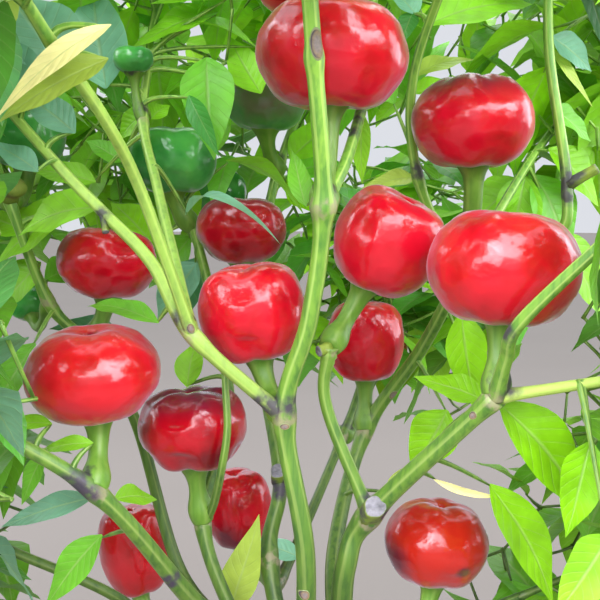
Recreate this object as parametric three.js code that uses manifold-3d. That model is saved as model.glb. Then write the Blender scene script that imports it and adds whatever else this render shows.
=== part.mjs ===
// Chilli plant of the round, cherry-fruited kind, rooted in the ground, in millimetres with +Z up.
// The origin is the middle of the flat cut under the main stem. The open front faces -Y.
import * as THREE from 'three';
import { mergeVertices } from 'three/addons/utils/BufferGeometryUtils.js';
import Module from 'manifold-3d';

const wasm = await Module();
wasm.setup();

// Clearance between pieces that touch
const GAP = 0.3;

// The largest step in a surface that is smoothed over where pieces are joined
const SLIVER = 0.06;

// Main stem: radii from the root flare at the ground up to the first fork
const STEM_RADII = [11.5, 8.2, 7, 6.6];
const STEM_SIDES = 12;

// Stems and boughs
const LIMB_SIDES = 6;
const STATION_STEP = 20;
const FORK_SWELL = 1.4;

// Berries and their stalks
const BERRY_SIDES = 10;
const STALK_SIDES = 5;
const STALK_RADIUS = 2.9;

// Shoots of the foliage: each forks in two, with leaves at every fork
const SHOOT_LENGTH = 27;
const SHOOT_SHORTER = 0.88;
const SHOOT_RADIUS = 1.7;
const SHOOT_THINNER = 0.78;
const SHOOT_LEVELS = 3;
const FORK_ANGLE = 30;
const LEAF_LENGTH = 64;
const LEAF_WIDTH = 36;
const PETIOLE_LENGTH = 16;
const PETIOLE_RADIUS = 1.1;
const LEAF_ANGLE = 58;
const LEAVES_AT_FORK = 2;
const LEAVES_AT_TIP = 4;
const TRIES = 8;

// The heart of the plant is an open wedge, where the fruit stands free: it spreads and rises by these
// shares of the way back from its sharp front end
const HEART = { front: -358, back: 46, level: 338, spread: 0.27, rise: 0.19, fall: 0.4 };

// Places of the forks, bends and tips
const PLACES = {
  foot: [0, 0, 0], collar: [0, 0, 14], waist: [-4, -3, 78], crotch: [0, -14, 150],
  leftArm: [-20, -8, 174], rightArm: [13, -12, 176],
  frontLow: [2, -34, 216], frontFork: [-5, -39, 266], frontMid: [3, -48, 299],
  frontRing: [7, -57, 334], frontHigh: [4, -70, 376], frontTip: [1, -78, 412],
  rightLow: [16, -20, 208], rightFork: [24, -23, 228], rightElbow: [60, -56, 276],
  rightBend: [61, -66, 290], rightMid: [63, -76, 302], rightTip: [86, -92, 330],
  rightLowTip: [100, -56, 282], innerMid: [9, -21, 266], innerRing: [10, -22, 286],
  backLow: [14, 30, 198], backFork: [28, 62, 237], backMid: [50, 51, 274],
  backNode: [62, 28, 306], edgeMid: [92, 6, 322], edgeNode: [96, 4, 341],
  edgeHigh: [90, 10, 388], edgeTip: [90, 14, 422],
  loopNode: [44, 17, 344], loopMid: [41, 11, 379], loopTip: [52, -8, 418],
  farMid: [94, 65, 348], farTip: [112, 92, 366],
  centreLow: [-12, 19, 196], centreNode: [-8, 32, 225], centreMid: [-17, 60, 268],
  centreFork: [-21, 76, 296], centreHigh: [-10, 100, 348], centreTip: [4, 118, 388],
  leftLow: [-38, -21, 197], leftFork: [-65, -51, 245], leftTip: [-106, -60, 273],
  sideLow: [-48, 29, 188], sideMid: [-67, 40, 247], sideFork: [-84, 32, 279],
  sideTurn: [-97, 25, 297], sideNode: [-109, 18, 336], sideTip: [-120, 32, 356],
  midFork: [-36, 1, 218], midLow: [-28, 31, 257], midHigh: [-46, 74, 324], midNode: [-58, 98, 342],
  midTip: [-64, 116, 354],
  forkLeft: [-34, -46, 294], turnLeft: [-48, -36, 316], nodeLeft: [-66, -22, 332],
  bendLeft: [-80, -15, 345], tipLeft: [-106, -3, 372],
  nearMid: [-46, -66, 338], nearBend: [-52, -90, 358], nearTip: [-60, -112, 374],
  backLeftMid: [-51, 4, 339], backLeftNode: [-61, 36, 366], backLeftTip: [-61, 54, 392],
  topMid: [16, -34, 352], topHigh: [25, -4, 386], topTip: [26, 14, 420],
  lowLeftFork: [-50, 26, 160], lowLeftMid: [-72, 10, 186], lowLeftNode: [-105, 6, 203],
  lowLeftTip: [-118, 6, 209],
  lowRightFork: [42, 2, 170], lowRightTip: [84, 12, 184],
  rearFork: [-9, 58, 172], rearMid: [20, 98, 226], rearTip: [34, 116, 262],
};

// Each limb: its radii from root to tip, and the places that it runs through
const limb = (radii, ...through) => ({ radii, through });
const LIMBS = {
  main_stem: limb(STEM_RADII, 'foot', 'collar', 'waist', 'crotch'),
  stem_front: limb([3.6, 2.2], 'crotch', 'frontLow', 'frontFork', 'frontMid',
    'frontRing', 'frontHigh', 'frontTip'),
  stem_right: limb([4.4, 2.8], 'crotch', 'rightArm', 'rightLow', 'rightFork', 'rightElbow'),
  stem_left: limb([4.2, 1.9], 'crotch', 'leftArm', 'leftLow', 'leftFork', 'leftTip'),
  stem_centre: limb([3.4, 1.9], 'crotch', 'centreLow', 'centreNode', 'centreMid',
    'centreFork', 'centreHigh', 'centreTip'),
  stem_back: limb([3.3, 2.5], 'rightArm', 'backLow', 'backFork', 'backMid', 'backNode'),
  stem_side: limb([2.7, 1.8], 'leftArm', 'sideLow', 'sideMid', 'sideFork',
    'sideTurn', 'sideNode', 'sideTip'),
  stem_mid: limb([2.6, 1.7], 'leftArm', 'midFork', 'midLow', 'midHigh', 'midNode', 'midTip'),
  stem_rear: limb([2.6, 1.8], 'centreLow', 'rearFork', 'rearMid', 'rearTip'),
  stem_low_left: limb([2.7, 1.7], 'crotch', 'lowLeftFork', 'lowLeftMid', 'lowLeftNode', 'lowLeftTip'),
  stem_low_right: limb([2.7, 1.8], 'crotch', 'lowRightFork', 'lowRightTip'),
  stem_inner: limb([2.3, 2], 'rightFork', 'innerMid', 'innerRing'),
  bough_right: limb([2.3, 1.7], 'rightElbow', 'rightBend', 'rightMid', 'rightTip'),
  bough_right_low: limb([1.9, 1.6], 'rightElbow', 'rightLowTip'),
  bough_edge: limb([2.2, 1.7], 'backNode', 'edgeMid', 'edgeNode', 'edgeHigh', 'edgeTip'),
  bough_loop: limb([2, 1.6], 'backNode', 'loopNode', 'loopMid', 'loopTip'),
  bough_far: limb([2, 1.7], 'backNode', 'farMid', 'farTip'),
  bough_left: limb([2.4, 1.7], 'frontFork', 'forkLeft', 'turnLeft', 'nodeLeft', 'bendLeft', 'tipLeft'),
  bough_near: limb([1.9, 1.6], 'forkLeft', 'nearMid', 'nearBend', 'nearTip'),
  bough_back_left: limb([2, 1.7], 'forkLeft', 'backLeftMid', 'backLeftNode', 'backLeftTip'),
  bough_top: limb([2, 1.7], 'frontRing', 'topMid', 'topHigh', 'topTip'),
};

// Cut stubs of pruned shoots: the limb and place they stand on, and the way they point
const STUBS = [
  { limb: 'stem_right', at: 'rightFork', way: [0.05, -0.62, 0.78], radius: 3.4, length: 7.5 },
  { limb: 'stem_centre', at: 'centreNode', way: [-0.1, -0.75, 0.65], radius: 2.7, length: 7 },
  { limb: 'bough_left', at: 'nodeLeft', way: [0.2, -0.5, -0.84], radius: 1.2, length: 8 },
  { limb: 'stem_inner', at: 'innerRing', way: [-0.85, -0.4, 0.1], radius: 1.5, length: 6 },
];

// Each fruit: the fork it stands on, the middle of its berry, its width and height, and its lean
const RED = 0xc4101c;
const DARK_RED = 0x7d0d18;
const GREEN = 0x2a6a26;
const fruit = (fork, middle, width, height, lean, colour) => ({ fork, middle, width, height, lean, colour });
const FRUITS = {
  fruit_front_top: fruit('frontRing', [10, -39, 381], 48, 34, [0.05, 0], RED),
  fruit_right_top: fruit('backNode', [61, 0, 363], 44, 33, [-0.04, 0], RED),
  fruit_right: fruit('rightElbow', [63, -50, 315], 48, 35, [0.06, 0], RED),
  fruit_inner: fruit('innerRing', [30, -13, 321], 38, 37, [0.5, -0.15], RED),
  fruit_heart: fruit('frontFork', [-16, -23, 298], 37, 33, [-0.15, 0], RED),
  fruit_behind: fruit('backFork', [28, 67, 275], 34, 34, [0, 0], RED),
  fruit_left: fruit('leftFork', [-67, -39, 280], 44, 31, [-0.08, 0], RED),
  fruit_mid: fruit('midFork', [-39, -1, 253], 40, 31, [-0.05, 0], DARK_RED),
  fruit_side: fruit('sideFork', [-75, 31, 311], 39, 27, [0.05, 0], RED),
  fruit_centre: fruit('centreFork', [-24, 55, 323], 38, 27, [0, 0], DARK_RED),
  fruit_low_right: fruit('lowRightFork', [52, 11, 206], 40, 34, [0.1, 0], RED),
  fruit_low_left: fruit('lowLeftFork', [-71, 58, 186], 31, 38, [-0.1, 0], RED),
  fruit_low_rear: fruit('rearFork', [-28, 80, 197], 31, 34, [-0.1, 0], RED),
  fruit_green: fruit('midHigh', [-54, 71, 352], 37, 28, [0, 0], GREEN),
  fruit_green_high: fruit('centreHigh', [-15, 89, 378], 36, 25, [0, 0], GREEN),
  fruit_green_small: fruit('backLeftNode', [-65, 41, 390], 16, 13, [0, 0], GREEN),
  fruit_green_side: fruit('sideTurn', [-112, 53, 294], 19, 15, [-0.4, 0.6], GREEN),
  fruit_rear: fruit('rearMid', [37, 140, 260], 34, 30, [0.2, 0.3], RED),
  fruit_rear_left: fruit('midNode', [-40, 132, 338], 28, 24, [0.25, 0.4], GREEN),
  fruit_crown: fruit('topHigh', [2, 4, 414], 36, 27, [-0.3, 0], RED),
  fruit_side_high: fruit('sideNode', [-112, 55, 362], 33, 27, [0, 0.1], GREEN),
};

// Each mass of foliage: the bough that it ends, the ball it may fill, and the seed of its shoots
const MASSES = {
  foliage_front: { on: 'stem_front', middle: [-4, -95, 458], radius: 80, seed: 1 },
  foliage_top: { on: 'bough_top', middle: [22, 32, 468], radius: 80, seed: 7 },
  foliage_right_top: { on: 'bough_edge', middle: [112, 24, 462], radius: 80, seed: 47 },
  foliage_middle_top: { on: 'bough_loop', middle: [66, -50, 446], radius: 76, seed: 2 },
  foliage_left_top: { on: 'bough_left', middle: [-140, -12, 404], radius: 80, seed: 9 },
  foliage_near_left: { on: 'bough_near', middle: [-78, -140, 408], radius: 76, seed: 11 },
  foliage_back_left_top: { on: 'bough_back_left', middle: [-72, 72, 436], radius: 78, seed: 59 },
  foliage_right: { on: 'bough_right', middle: [124, -104, 356], radius: 78, seed: 59 },
  foliage_right_low: { on: 'bough_right_low', middle: [144, -48, 276], radius: 78, seed: 31 },
  foliage_low_right: { on: 'stem_low_right', middle: [128, 24, 196], radius: 78, seed: 14 },
  foliage_low_left: { on: 'stem_low_left', middle: [-150, 12, 226], radius: 78, seed: 11 },
  foliage_left: { on: 'stem_left', middle: [-144, -76, 298], radius: 78, seed: 31 },
  foliage_side: { on: 'stem_side', middle: [-150, 64, 366], radius: 78, seed: 27 },
  foliage_back_top: { on: 'stem_centre', middle: [8, 140, 428], radius: 80, seed: 59 },
  foliage_back_right: { on: 'bough_far', middle: [132, 118, 396], radius: 78, seed: 31 },
  foliage_back_left: { on: 'stem_mid', middle: [-80, 150, 376], radius: 78, seed: 14 },
  foliage_rear: { on: 'stem_rear', middle: [46, 146, 300], radius: 80, seed: 59 },
};

const BARK = new THREE.MeshStandardMaterial({ color: 0x5f9a42, roughness: 0.6, metalness: 0 });
const LEAF = new THREE.MeshStandardMaterial({ color: 0x3f8a2a, roughness: 0.65, metalness: 0 });
const skin = (colour) => new THREE.MeshStandardMaterial({ color: colour, roughness: 0.25, metalness: 0 });

const vec = (a) => new THREE.Vector3(...a);
const place = (name) => vec(PLACES[name]);
const along = (p, way, far) => p.clone().addScaledVector(way, far);
const radians = THREE.MathUtils.degToRad;

// A repeatable run of numbers between 0 and 1
function dice(seed) {
  let state = seed;
  return () => {
    state = (state * 16807) % 2147483647;
    return state / 2147483647;
  };
}

function solid(corners, faces) {
  const made = new THREE.BufferGeometry();
  made.setAttribute('position', new THREE.Float32BufferAttribute(corners.flatMap((p) => p.toArray()), 3));
  made.setIndex(faces.flat());
  const merged = mergeVertices(made, 1e-4);
  return new wasm.Manifold(new wasm.Mesh({
    numProp: 3,
    vertProperties: merged.attributes.position.array,
    triVerts: new Uint32Array(merged.index.array),
  }));
}

function geometry(body) {
  const mesh = body.getMesh();
  const made = new THREE.BufferGeometry();
  made.setAttribute('position', new THREE.BufferAttribute(new Float32Array(mesh.vertProperties), 3));
  made.setIndex(new THREE.BufferAttribute(new Uint32Array(mesh.triVerts), 1));
  made.computeVertexNormals();
  return made;
}

// The biggest of the loose parts of a body, with its needless slivers cleared
function biggest(body) {
  const parts = body.decompose().sort((a, b) => b.volume() - a.volume());
  return parts[0].asOriginal().simplify(SLIVER);
}

// A tube of flat-ended rings along the stations, each ring square to the way through it
function tube(stations, radii, sides) {
  const last = stations.length - 1;
  const corners = [];
  let side = new THREE.Vector3(1, 0.2, 0.1);
  stations.forEach((p, i) => {
    const way = stations[Math.min(i + 1, last)].clone().sub(stations[Math.max(i - 1, 0)]).normalize();
    side = side.clone().addScaledVector(way, -side.dot(way)).normalize();
    const across = way.clone().cross(side);
    for (let k = 0; k < sides; k++) {
      const turn = (2 * Math.PI * k) / sides;
      const out = side.clone().multiplyScalar(Math.cos(turn)).addScaledVector(across, Math.sin(turn));
      corners.push(along(p, out, radii[i]));
    }
  });
  const faces = [];
  for (let k = 1; k < sides - 1; k++) {
    faces.push([0, k + 1, k], [last * sides, last * sides + k, last * sides + k + 1]);
  }
  for (let i = 0; i < last; i++) {
    for (let k = 0; k < sides; k++) {
      const [a, b] = [i * sides + k, i * sides + ((k + 1) % sides)];
      faces.push([a, b, b + sides], [a, b + sides, a + sides]);
    }
  }
  return solid(corners, faces);
}

// The same tube, wider and longer by the clearance all round
function guard(stations, radii, sides) {
  const n = stations.length;
  const wide = stations.map((p) => p.clone());
  wide[0].addScaledVector(stations[0].clone().sub(stations[1]).normalize(), GAP);
  wide[n - 1].addScaledVector(stations[n - 1].clone().sub(stations[n - 2]).normalize(), GAP);
  return tube(wide, radii.map((r) => r + GAP), sides);
}

// Stations and radii of a limb, swollen where something forks off it
const forked = new Set([
  ...Object.values(LIMBS).map((row) => row.through[0]),
  ...Object.values(FRUITS).map((row) => row.fork),
]);
function limbLine({ through, radii }) {
  const points = through.map(place);
  const curve = new THREE.CatmullRomCurve3(points, false, 'catmullrom', 0.5);
  const stations = [];
  const swell = [];
  points.slice(0, -1).forEach((p, i) => {
    const steps = Math.max(1, Math.round(p.distanceTo(points[i + 1]) / STATION_STEP));
    for (let j = 0; j < steps; j++) {
      stations.push(curve.getPoint((i + j / steps) / (points.length - 1)));
      swell.push(j === 0 && forked.has(through[i]) ? FORK_SWELL : 1);
    }
  });
  stations.push(points.at(-1));
  swell.push(forked.has(through.at(-1)) ? FORK_SWELL : 1);
  const width = (t) => {
    const at = t * (radii.length - 1);
    const i = Math.min(Math.floor(at), radii.length - 2);
    return THREE.MathUtils.lerp(radii[i], radii[i + 1], at - i);
  };
  return { stations, radii: stations.map((p, i) => width(i / (stations.length - 1)) * swell[i]) };
}

// Every limb, cut clear of those made before it
const lines = {};
const limbs = {};
const guards = [];
for (const [name, row] of Object.entries(LIMBS)) {
  const line = limbLine(row);
  const sides = name === 'main_stem' ? STEM_SIDES : LIMB_SIDES;
  const stubs = STUBS.filter((stub) => stub.limb === name).map((stub) => {
    const root = place(stub.at);
    const cut = along(root, vec(stub.way).normalize(), stub.length);
    return [[root, cut], [stub.radius, stub.radius * 0.9], STALK_SIDES];
  });
  let body = tube(line.stations, line.radii, sides);
  for (const stub of stubs) body = body.add(tube(...stub));
  for (const other of guards) body = body.subtract(other);
  lines[name] = line;
  limbs[name] = biggest(body);
  guards.push(guard(line.stations, line.radii, sides), ...stubs.map((stub) => guard(...stub)));
}

// The half outline of a berry: flat shoulders by the stalk, and a dimple at the free end
const BERRY_OUTLINE = [
  [0, -0.42], [0.45, -0.48], [0.86, -0.28], [1, 0.02], [0.92, 0.3], [0.64, 0.48], [0.32, 0.5], [0, 0.42],
];
function berry({ width, height }) {
  const outline = BERRY_OUTLINE.map(([x, z]) => new THREE.Vector2((x * width) / 2, z * height));
  const made = new THREE.LatheGeometry(outline, BERRY_SIDES);
  made.rotateX(Math.PI / 2);
  made.deleteAttribute('normal');
  made.deleteAttribute('uv');
  return made;
}

// A berry with its calyx and stalk. The stalk rises from the fork and widens under the berry.
function stalkLine({ fork, middle, height, width, lean }) {
  const up = new THREE.Vector3(lean[0], lean[1], 1).normalize();
  const seat = along(vec(middle), up, -0.42 * height);
  const from = place(fork);
  const reach = from.distanceTo(seat);
  const bend = along(seat, up, -0.5 * reach);
  const curve = new THREE.QuadraticBezierCurve3(from, bend, seat);
  const stations = [0, 0.3, 0.6, 0.85].map((t) => curve.getPoint(t));
  const calyx = Math.min(0.24 * width, 9);
  stations.push(along(seat, up, -0.02 * height), along(seat, up, 0.06 * height));
  const wide = STALK_RADIUS * Math.min(1, width / 30);
  return { up, stations, radii: [wide, wide, 1.1 * wide, 1.4 * wide, calyx, calyx * 0.9] };
}

function fruitBody(row) {
  const stalk = stalkLine(row);
  const made = berry(row);
  made.applyQuaternion(new THREE.Quaternion().setFromUnitVectors(new THREE.Vector3(0, 0, 1), stalk.up));
  made.translate(...row.middle);
  const merged = mergeVertices(made, 1e-4);
  const round = new wasm.Manifold(new wasm.Mesh({
    numProp: 3,
    vertProperties: merged.attributes.position.array,
    triVerts: new Uint32Array(merged.index.array),
  }));
  let body = tube(stalk.stations, stalk.radii, STALK_SIDES);
  for (const other of guards) body = body.subtract(other);
  return biggest(biggest(body).add(round));
}

// What the foliage keeps clear of: stretches of limb and stalk, and berries
const stretches = [];
const addStretches = ({ stations, radii }) => {
  for (let i = 0; i + 1 < stations.length; i++) {
    stretches.push({ a: stations[i], b: stations[i + 1], radius: Math.max(radii[i], radii[i + 1]) });
  }
};
Object.values(lines).forEach(addStretches);
Object.values(FRUITS).forEach((row) => addStretches(stalkLine(row)));
const berries = Object.values(FRUITS).map((row) => ({ middle: vec(row.middle), radius: row.width / 2 }));
const balls = Object.values(MASSES).map((mass) => ({ middle: vec(mass.middle), radius: mass.radius }));

const SHARE_GAP = 1.8;
const LIMB_CLEAR = 6;
const SHOOT_CLEAR = 4;
const LEAF_APART = 9;
const BERRY_CLEAR = 3;
const beyond = (ball, p) => ball.middle.distanceTo(p) - ball.radius;

function farFrom(p, { a, b }) {
  const span = b.clone().sub(a);
  const t = THREE.MathUtils.clamp(p.clone().sub(a).dot(span) / span.lengthSq(), 0, 1);
  return p.distanceTo(along(a, span, t));
}

function inHeart(p) {
  const deep = p.y - HEART.front;
  const high = p.z - HEART.level;
  return p.y < HEART.back && Math.abs(p.x) < HEART.spread * deep
    && high < HEART.rise * deep && high > -HEART.fall * deep;
}

// A point is free for a mass if it lies in the mass's own share of its ball, clear of all else
function isFree(p, own, clear) {
  const mine = beyond(own, p);
  if (mine > 0) return false;
  if (inHeart(p)) return false;
  if (balls.some((ball) => ball !== own && beyond(ball, p) < mine + SHARE_GAP)) return false;
  if (berries.some((one) => one.middle.distanceTo(p) < one.radius + BERRY_CLEAR)) return false;
  return !stretches.some((stretch) => farFrom(p, stretch) < stretch.radius + clear);
}

// A leaf: a three-sided stalk that runs into a blade with a midrib fold and a drooping tip
function leafCorners(root, way, flat, size) {
  const up = flat.clone().addScaledVector(way, -flat.dot(way)).normalize();
  const right = way.clone().cross(up);
  const length = LEAF_LENGTH * size;
  const width = LEAF_WIDTH * size;
  const stalk = PETIOLE_LENGTH * size;
  const at = (far, side, high) => along(along(along(root, way, far), right, side), up, high);
  const r = PETIOLE_RADIUS;
  const thick = Math.max(0.013 * length, 0.9);
  return {
    root: [at(-1.5, r, r * 0.5), at(-1.5, -r, r * 0.5), at(-1.5, 0, -r)],
    neck: [at(stalk, r * 0.8, 0.4), at(stalk, -r * 0.8, 0.4), at(stalk, 0, -r * 0.8)],
    rim: [
      at(stalk + 0.28 * length, 0.48 * width, 0.06 * length),
      at(stalk + 0.62 * length, 0.38 * width, 0.01 * length),
      at(stalk + length, 0, -0.16 * length),
      at(stalk + 0.62 * length, -0.38 * width, 0.01 * length),
      at(stalk + 0.28 * length, -0.48 * width, 0.06 * length),
    ],
    top: at(stalk + 0.44 * length, 0, 0.02 * length + thick / 2),
    under: at(stalk + 0.44 * length, 0, 0.02 * length - thick / 2),
  };
}

const LEAF_FACES = [
  [0, 1, 2], [0, 4, 1], [0, 3, 4], [1, 5, 2], [1, 4, 5], [2, 3, 0], [2, 5, 3],
  [3, 11, 4], [4, 11, 10], [10, 11, 9], [9, 11, 8], [8, 11, 7], [7, 11, 6], [6, 11, 3],
  [5, 12, 3], [4, 12, 5], [3, 12, 6], [6, 12, 7], [7, 12, 8], [8, 12, 9], [9, 12, 10], [10, 12, 4],
];
function leafBody({ root, neck, rim, top, under }) {
  return solid([...root, ...neck, ...rim, top, under], LEAF_FACES);
}

// Points spread over a leaf, to try it against what stands near
function leafSamples({ neck, rim, top }) {
  const between = (a, b) => a.clone().lerp(b, 0.5);
  const [r1, r2, tip, l2, l1] = rim;
  return [
    top, tip, r1, r2, l1, l2, between(r1, r2), between(l1, l2), between(r2, tip),
    between(l2, tip), between(top, tip), between(top, neck[2]), between(neck[0], r1), between(neck[1], l1),
  ];
}

// A direction turned away from way by an angle, towards the given turn about it
function turned(way, turn, angle) {
  const rough = Math.abs(way.z) < 0.9 ? new THREE.Vector3(0, 0, 1) : new THREE.Vector3(1, 0, 0);
  const side = way.clone().cross(rough).normalize();
  const across = way.clone().cross(side);
  const out = side.multiplyScalar(Math.cos(radians(turn))).addScaledVector(across, Math.sin(radians(turn)));
  return way.clone().multiplyScalar(Math.cos(radians(angle))).addScaledVector(out, Math.sin(radians(angle)));
}

// The shoots of a mass: the first goes on from its bough, and each forks in two while there is room
function growShoots(own, from, way, level, turn, random) {
  const length = SHOOT_LENGTH * SHOOT_SHORTER ** level * (0.9 + 0.2 * random());
  const radius = SHOOT_RADIUS * SHOOT_THINNER ** level;
  const end = along(from, way, length);
  const shoot = { from, end, way, radius, level, turn };
  if (level > 0 && ![0.5, 1].every((t) => isFree(along(from, way, length * t), own, SHOOT_CLEAR))) return [];
  if (level === SHOOT_LEVELS - 1) return [shoot];
  const inward = own.middle.clone().sub(end).normalize();
  const forks = [0, 180].flatMap((hand) => {
    const next = turned(way, turn + hand + 16 * (random() - 0.5), FORK_ANGLE * (0.8 + 0.4 * random()));
    next.addScaledVector(inward, 0.18).normalize();
    return growShoots(own, end, next, level + 1, turn + 80 + 30 * random(), random);
  });
  return [shoot, ...forks];
}

// The leaves at the end of a shoot: each turns about it until it finds room, or is skipped
function growLeaves(own, shoot, shoots, taken, random) {
  const count = shoot.level === SHOOT_LEVELS - 1 ? LEAVES_AT_TIP : LEAVES_AT_FORK;
  const near = shoots.filter((other) => other !== shoot).map(({ from, end }) => ({ a: from, b: end }));
  const leaves = [];
  for (let k = 0; k < count; k++) {
    const size = 0.75 + 0.4 * random();
    const angle = LEAF_ANGLE + 14 * (random() - 0.5);
    for (let attempt = 0; attempt < TRIES; attempt++) {
      const out = turned(shoot.way, shoot.turn + 90 + (360 / count) * k + 22 * attempt, angle);
      out.z -= 0.12;
      out.normalize();
      const leaf = leafCorners(shoot.end, out, new THREE.Vector3(0, 0, 1), size);
      const samples = leafSamples(leaf);
      const fits = samples.every((p) => isFree(p, own, LIMB_CLEAR)
        && !near.some((other) => farFrom(p, other) < SHOOT_CLEAR)
        && !taken.some((q) => p.distanceTo(q) < LEAF_APART));
      if (fits) {
        taken.push(...samples);
        leaves.push(leaf);
        break;
      }
    }
  }
  return leaves;
}

function massBody(mass, own) {
  const { stations } = lines[mass.on];
  const tip = stations.at(-1);
  const way = tip.clone().sub(stations.at(-2)).normalize();
  const random = dice(mass.seed * 7919);
  const shoots = growShoots(own, along(tip, way, GAP), way, 0, 360 * random(), random);
  const taken = [];
  const leaves = shoots.flatMap((shoot) => growLeaves(own, shoot, shoots, taken, random));
  const twigs = shoots.map(({ from, end, way: towards, radius, level }) => {
    const sunk = level === 0 ? from : along(from, towards, -0.6);
    return tube([sunk, end], [radius, radius * SHOOT_THINNER], 3);
  });
  return biggest([...twigs, ...leaves.map(leafBody)].reduce((whole, part) => whole.add(part)));
}

const plant = new THREE.Group();
function addPiece(name, body, material) {
  const mesh = new THREE.Mesh(geometry(body), material);
  mesh.name = name;
  plant.add(mesh);
}
Object.entries(limbs).forEach(([name, body]) => addPiece(name, body, BARK));
Object.entries(FRUITS).forEach(([name, row]) => addPiece(name, fruitBody(row), skin(row.colour)));
Object.entries(MASSES).forEach(([name, mass], i) => addPiece(name, massBody(mass, balls[i]), LEAF));

export default plant;
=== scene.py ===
# Cherry chilli plant in fruit, rooted at the origin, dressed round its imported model. Metres, +Z up.
# The open front of the plant, where the fruit stands free, faces -Y.
import math

import bpy
import numpy as np
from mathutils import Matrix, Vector
from mathutils.bvhtree import BVHTree


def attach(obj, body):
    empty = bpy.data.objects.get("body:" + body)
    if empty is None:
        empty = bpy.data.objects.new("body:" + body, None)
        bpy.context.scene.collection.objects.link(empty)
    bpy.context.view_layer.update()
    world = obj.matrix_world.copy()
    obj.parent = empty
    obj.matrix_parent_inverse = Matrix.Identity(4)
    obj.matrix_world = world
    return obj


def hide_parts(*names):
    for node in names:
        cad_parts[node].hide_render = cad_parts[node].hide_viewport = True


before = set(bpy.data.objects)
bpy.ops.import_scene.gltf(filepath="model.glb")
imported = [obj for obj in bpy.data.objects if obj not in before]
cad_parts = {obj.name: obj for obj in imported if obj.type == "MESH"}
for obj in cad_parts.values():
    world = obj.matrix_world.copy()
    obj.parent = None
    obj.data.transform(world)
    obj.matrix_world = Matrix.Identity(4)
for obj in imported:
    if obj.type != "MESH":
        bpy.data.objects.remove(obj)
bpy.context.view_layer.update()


# The view, floor and light: the camera looks into the heart of the plant, a little down, from close by.
# The floor is plain and pale. The light is soft: a hazy sky that is brightest overhead, windows in front
# and at both sides that draw broad pale reflections on the wet-looking skins, and a weak sun from behind.
CAMERA_PLACE = (0, -0.358, 0.3376)
CAMERA_DOWN = 6
bpy.ops.object.camera_add(location=CAMERA_PLACE, rotation=(math.radians(90 - CAMERA_DOWN), 0, 0))
camera = bpy.context.object
camera.data.lens = 60
camera.data.sensor_width = 36
camera.data.clip_start = 0.01
bpy.context.scene.camera = camera


def linear(code):
    """The linear colour of an sRGB hex code"""
    parts = [int(code[i:i + 2], 16) / 255 for i in (1, 3, 5)]
    return [c / 12.92 if c <= 0.04045 else ((c + 0.055) / 1.055) ** 2.4 for c in parts] + [1.0]


def add_node(tree, kind, inputs=None, out=0, **settings):
    """A node with its settings, each input a value, a hex colour or a link. Gives the output asked for."""
    made = tree.nodes.new("ShaderNode" + kind)
    for name, value in settings.items():
        setattr(made, name, value)
    for name, value in (inputs or {}).items():
        if isinstance(value, bpy.types.NodeSocket):
            tree.links.new(value, made.inputs[name])
        else:
            made.inputs[name].default_value = linear(value) if isinstance(value, str) else value
    return made.outputs[out] if made.outputs else None


def new_material(name):
    """An empty node material and its tree"""
    made = bpy.data.materials.new(name)
    made.use_nodes = True
    made.node_tree.nodes.clear()
    return made, made.node_tree


# Painted board: matt, with a faint unevenness of the roller
board, tree = new_material("pale_painted_board")
where = add_node(tree, "TexCoord", out="Object")
uneven = add_node(tree, "TexNoise", {"Vector": where, "Scale": 3.0, "Detail": 3.0})
paint = add_node(tree, "MixRGB", {"Fac": uneven, "Color1": "#544F4A", "Color2": "#5A5550"})
surface = add_node(tree, "BsdfPrincipled", {"Base Color": paint, "Roughness": 0.9})
add_node(tree, "OutputMaterial", {"Surface": surface})

bpy.ops.mesh.primitive_circle_add(vertices=96, radius=9, fill_type="NGON", location=(0, 0, -0.0006))
floor = bpy.context.object
floor.name = "floor"
floor.data.materials.append(board)

# A soft window is a square of light: its place, the point that it faces, its side and its strength. The
# front one only fills the shade, so it isn't mirrored.
WINDOWS = {
    "window_left": ((-0.8, -0.95, 0.95), (0, 0, 0.3), 1.0, 36),
    "window_right": ((0.95, -0.7, 0.85), (0, 0, 0.3), 0.9, 30),
    "window_high": ((0.05, -0.95, 1.4), (0, 0, 0.3), 1.3, 50),
    "window_front": ((0, -1.25, 0.6), (0, 0, 0.36), 0.9, 18),
    "window_side_left": ((-1.3, 0.35, 0.95), (0, 0, 0.3), 0.9, 17),
    "window_side_right": ((1.3, 0.45, 0.65), (0, 0, 0.3), 0.9, 14),
}
for name, (spot, facing, side, strength) in WINDOWS.items():
    bpy.ops.object.light_add(type="AREA", location=spot)
    window = bpy.context.object
    window.name = name
    window.rotation_euler = (Vector(facing) - Vector(spot)).to_track_quat("-Z", "Y").to_euler()
    window.data.size = side
    window.data.energy = strength
    window.data.color = (0.92, 0.91, 1.0)
    window.visible_camera = False
    window.visible_glossy = name != "window_front"
# The sky behind the plant: broad light from above and behind, which the leaves let through
bpy.ops.object.light_add(type="SUN", location=(0.4, 1.2, 2))
sky = bpy.context.object
sky.name = "sky_behind"
sky.rotation_euler = (Vector((0, 0, 0)) - Vector((0.35, 0.75, 1.2))).to_track_quat("-Z", "Y").to_euler()
sky.data.energy = 1.0
sky.data.angle = math.radians(35)
sky.data.color = (1.0, 0.98, 0.92)
world = bpy.data.worlds.new("hazy_sky")
world.use_nodes = True
tree = world.node_tree
towards = add_node(tree, "TexCoord", out="Generated")
height = add_node(tree, "SeparateXYZ", {"Vector": towards}, "Z")
haze = add_node(tree, "MapRange", {
    "Value": height, "From Min": 0.22, "From Max": 0.55, "To Min": 0.85, "To Max": 3.1})
tree.nodes["Background"].inputs["Color"].default_value = linear("#EEF1F8")
tree.links.new(haze, tree.nodes["Background"].inputs["Strength"])
bpy.context.scene.world = world
bpy.context.scene.view_settings.view_transform = "Standard"


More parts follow.
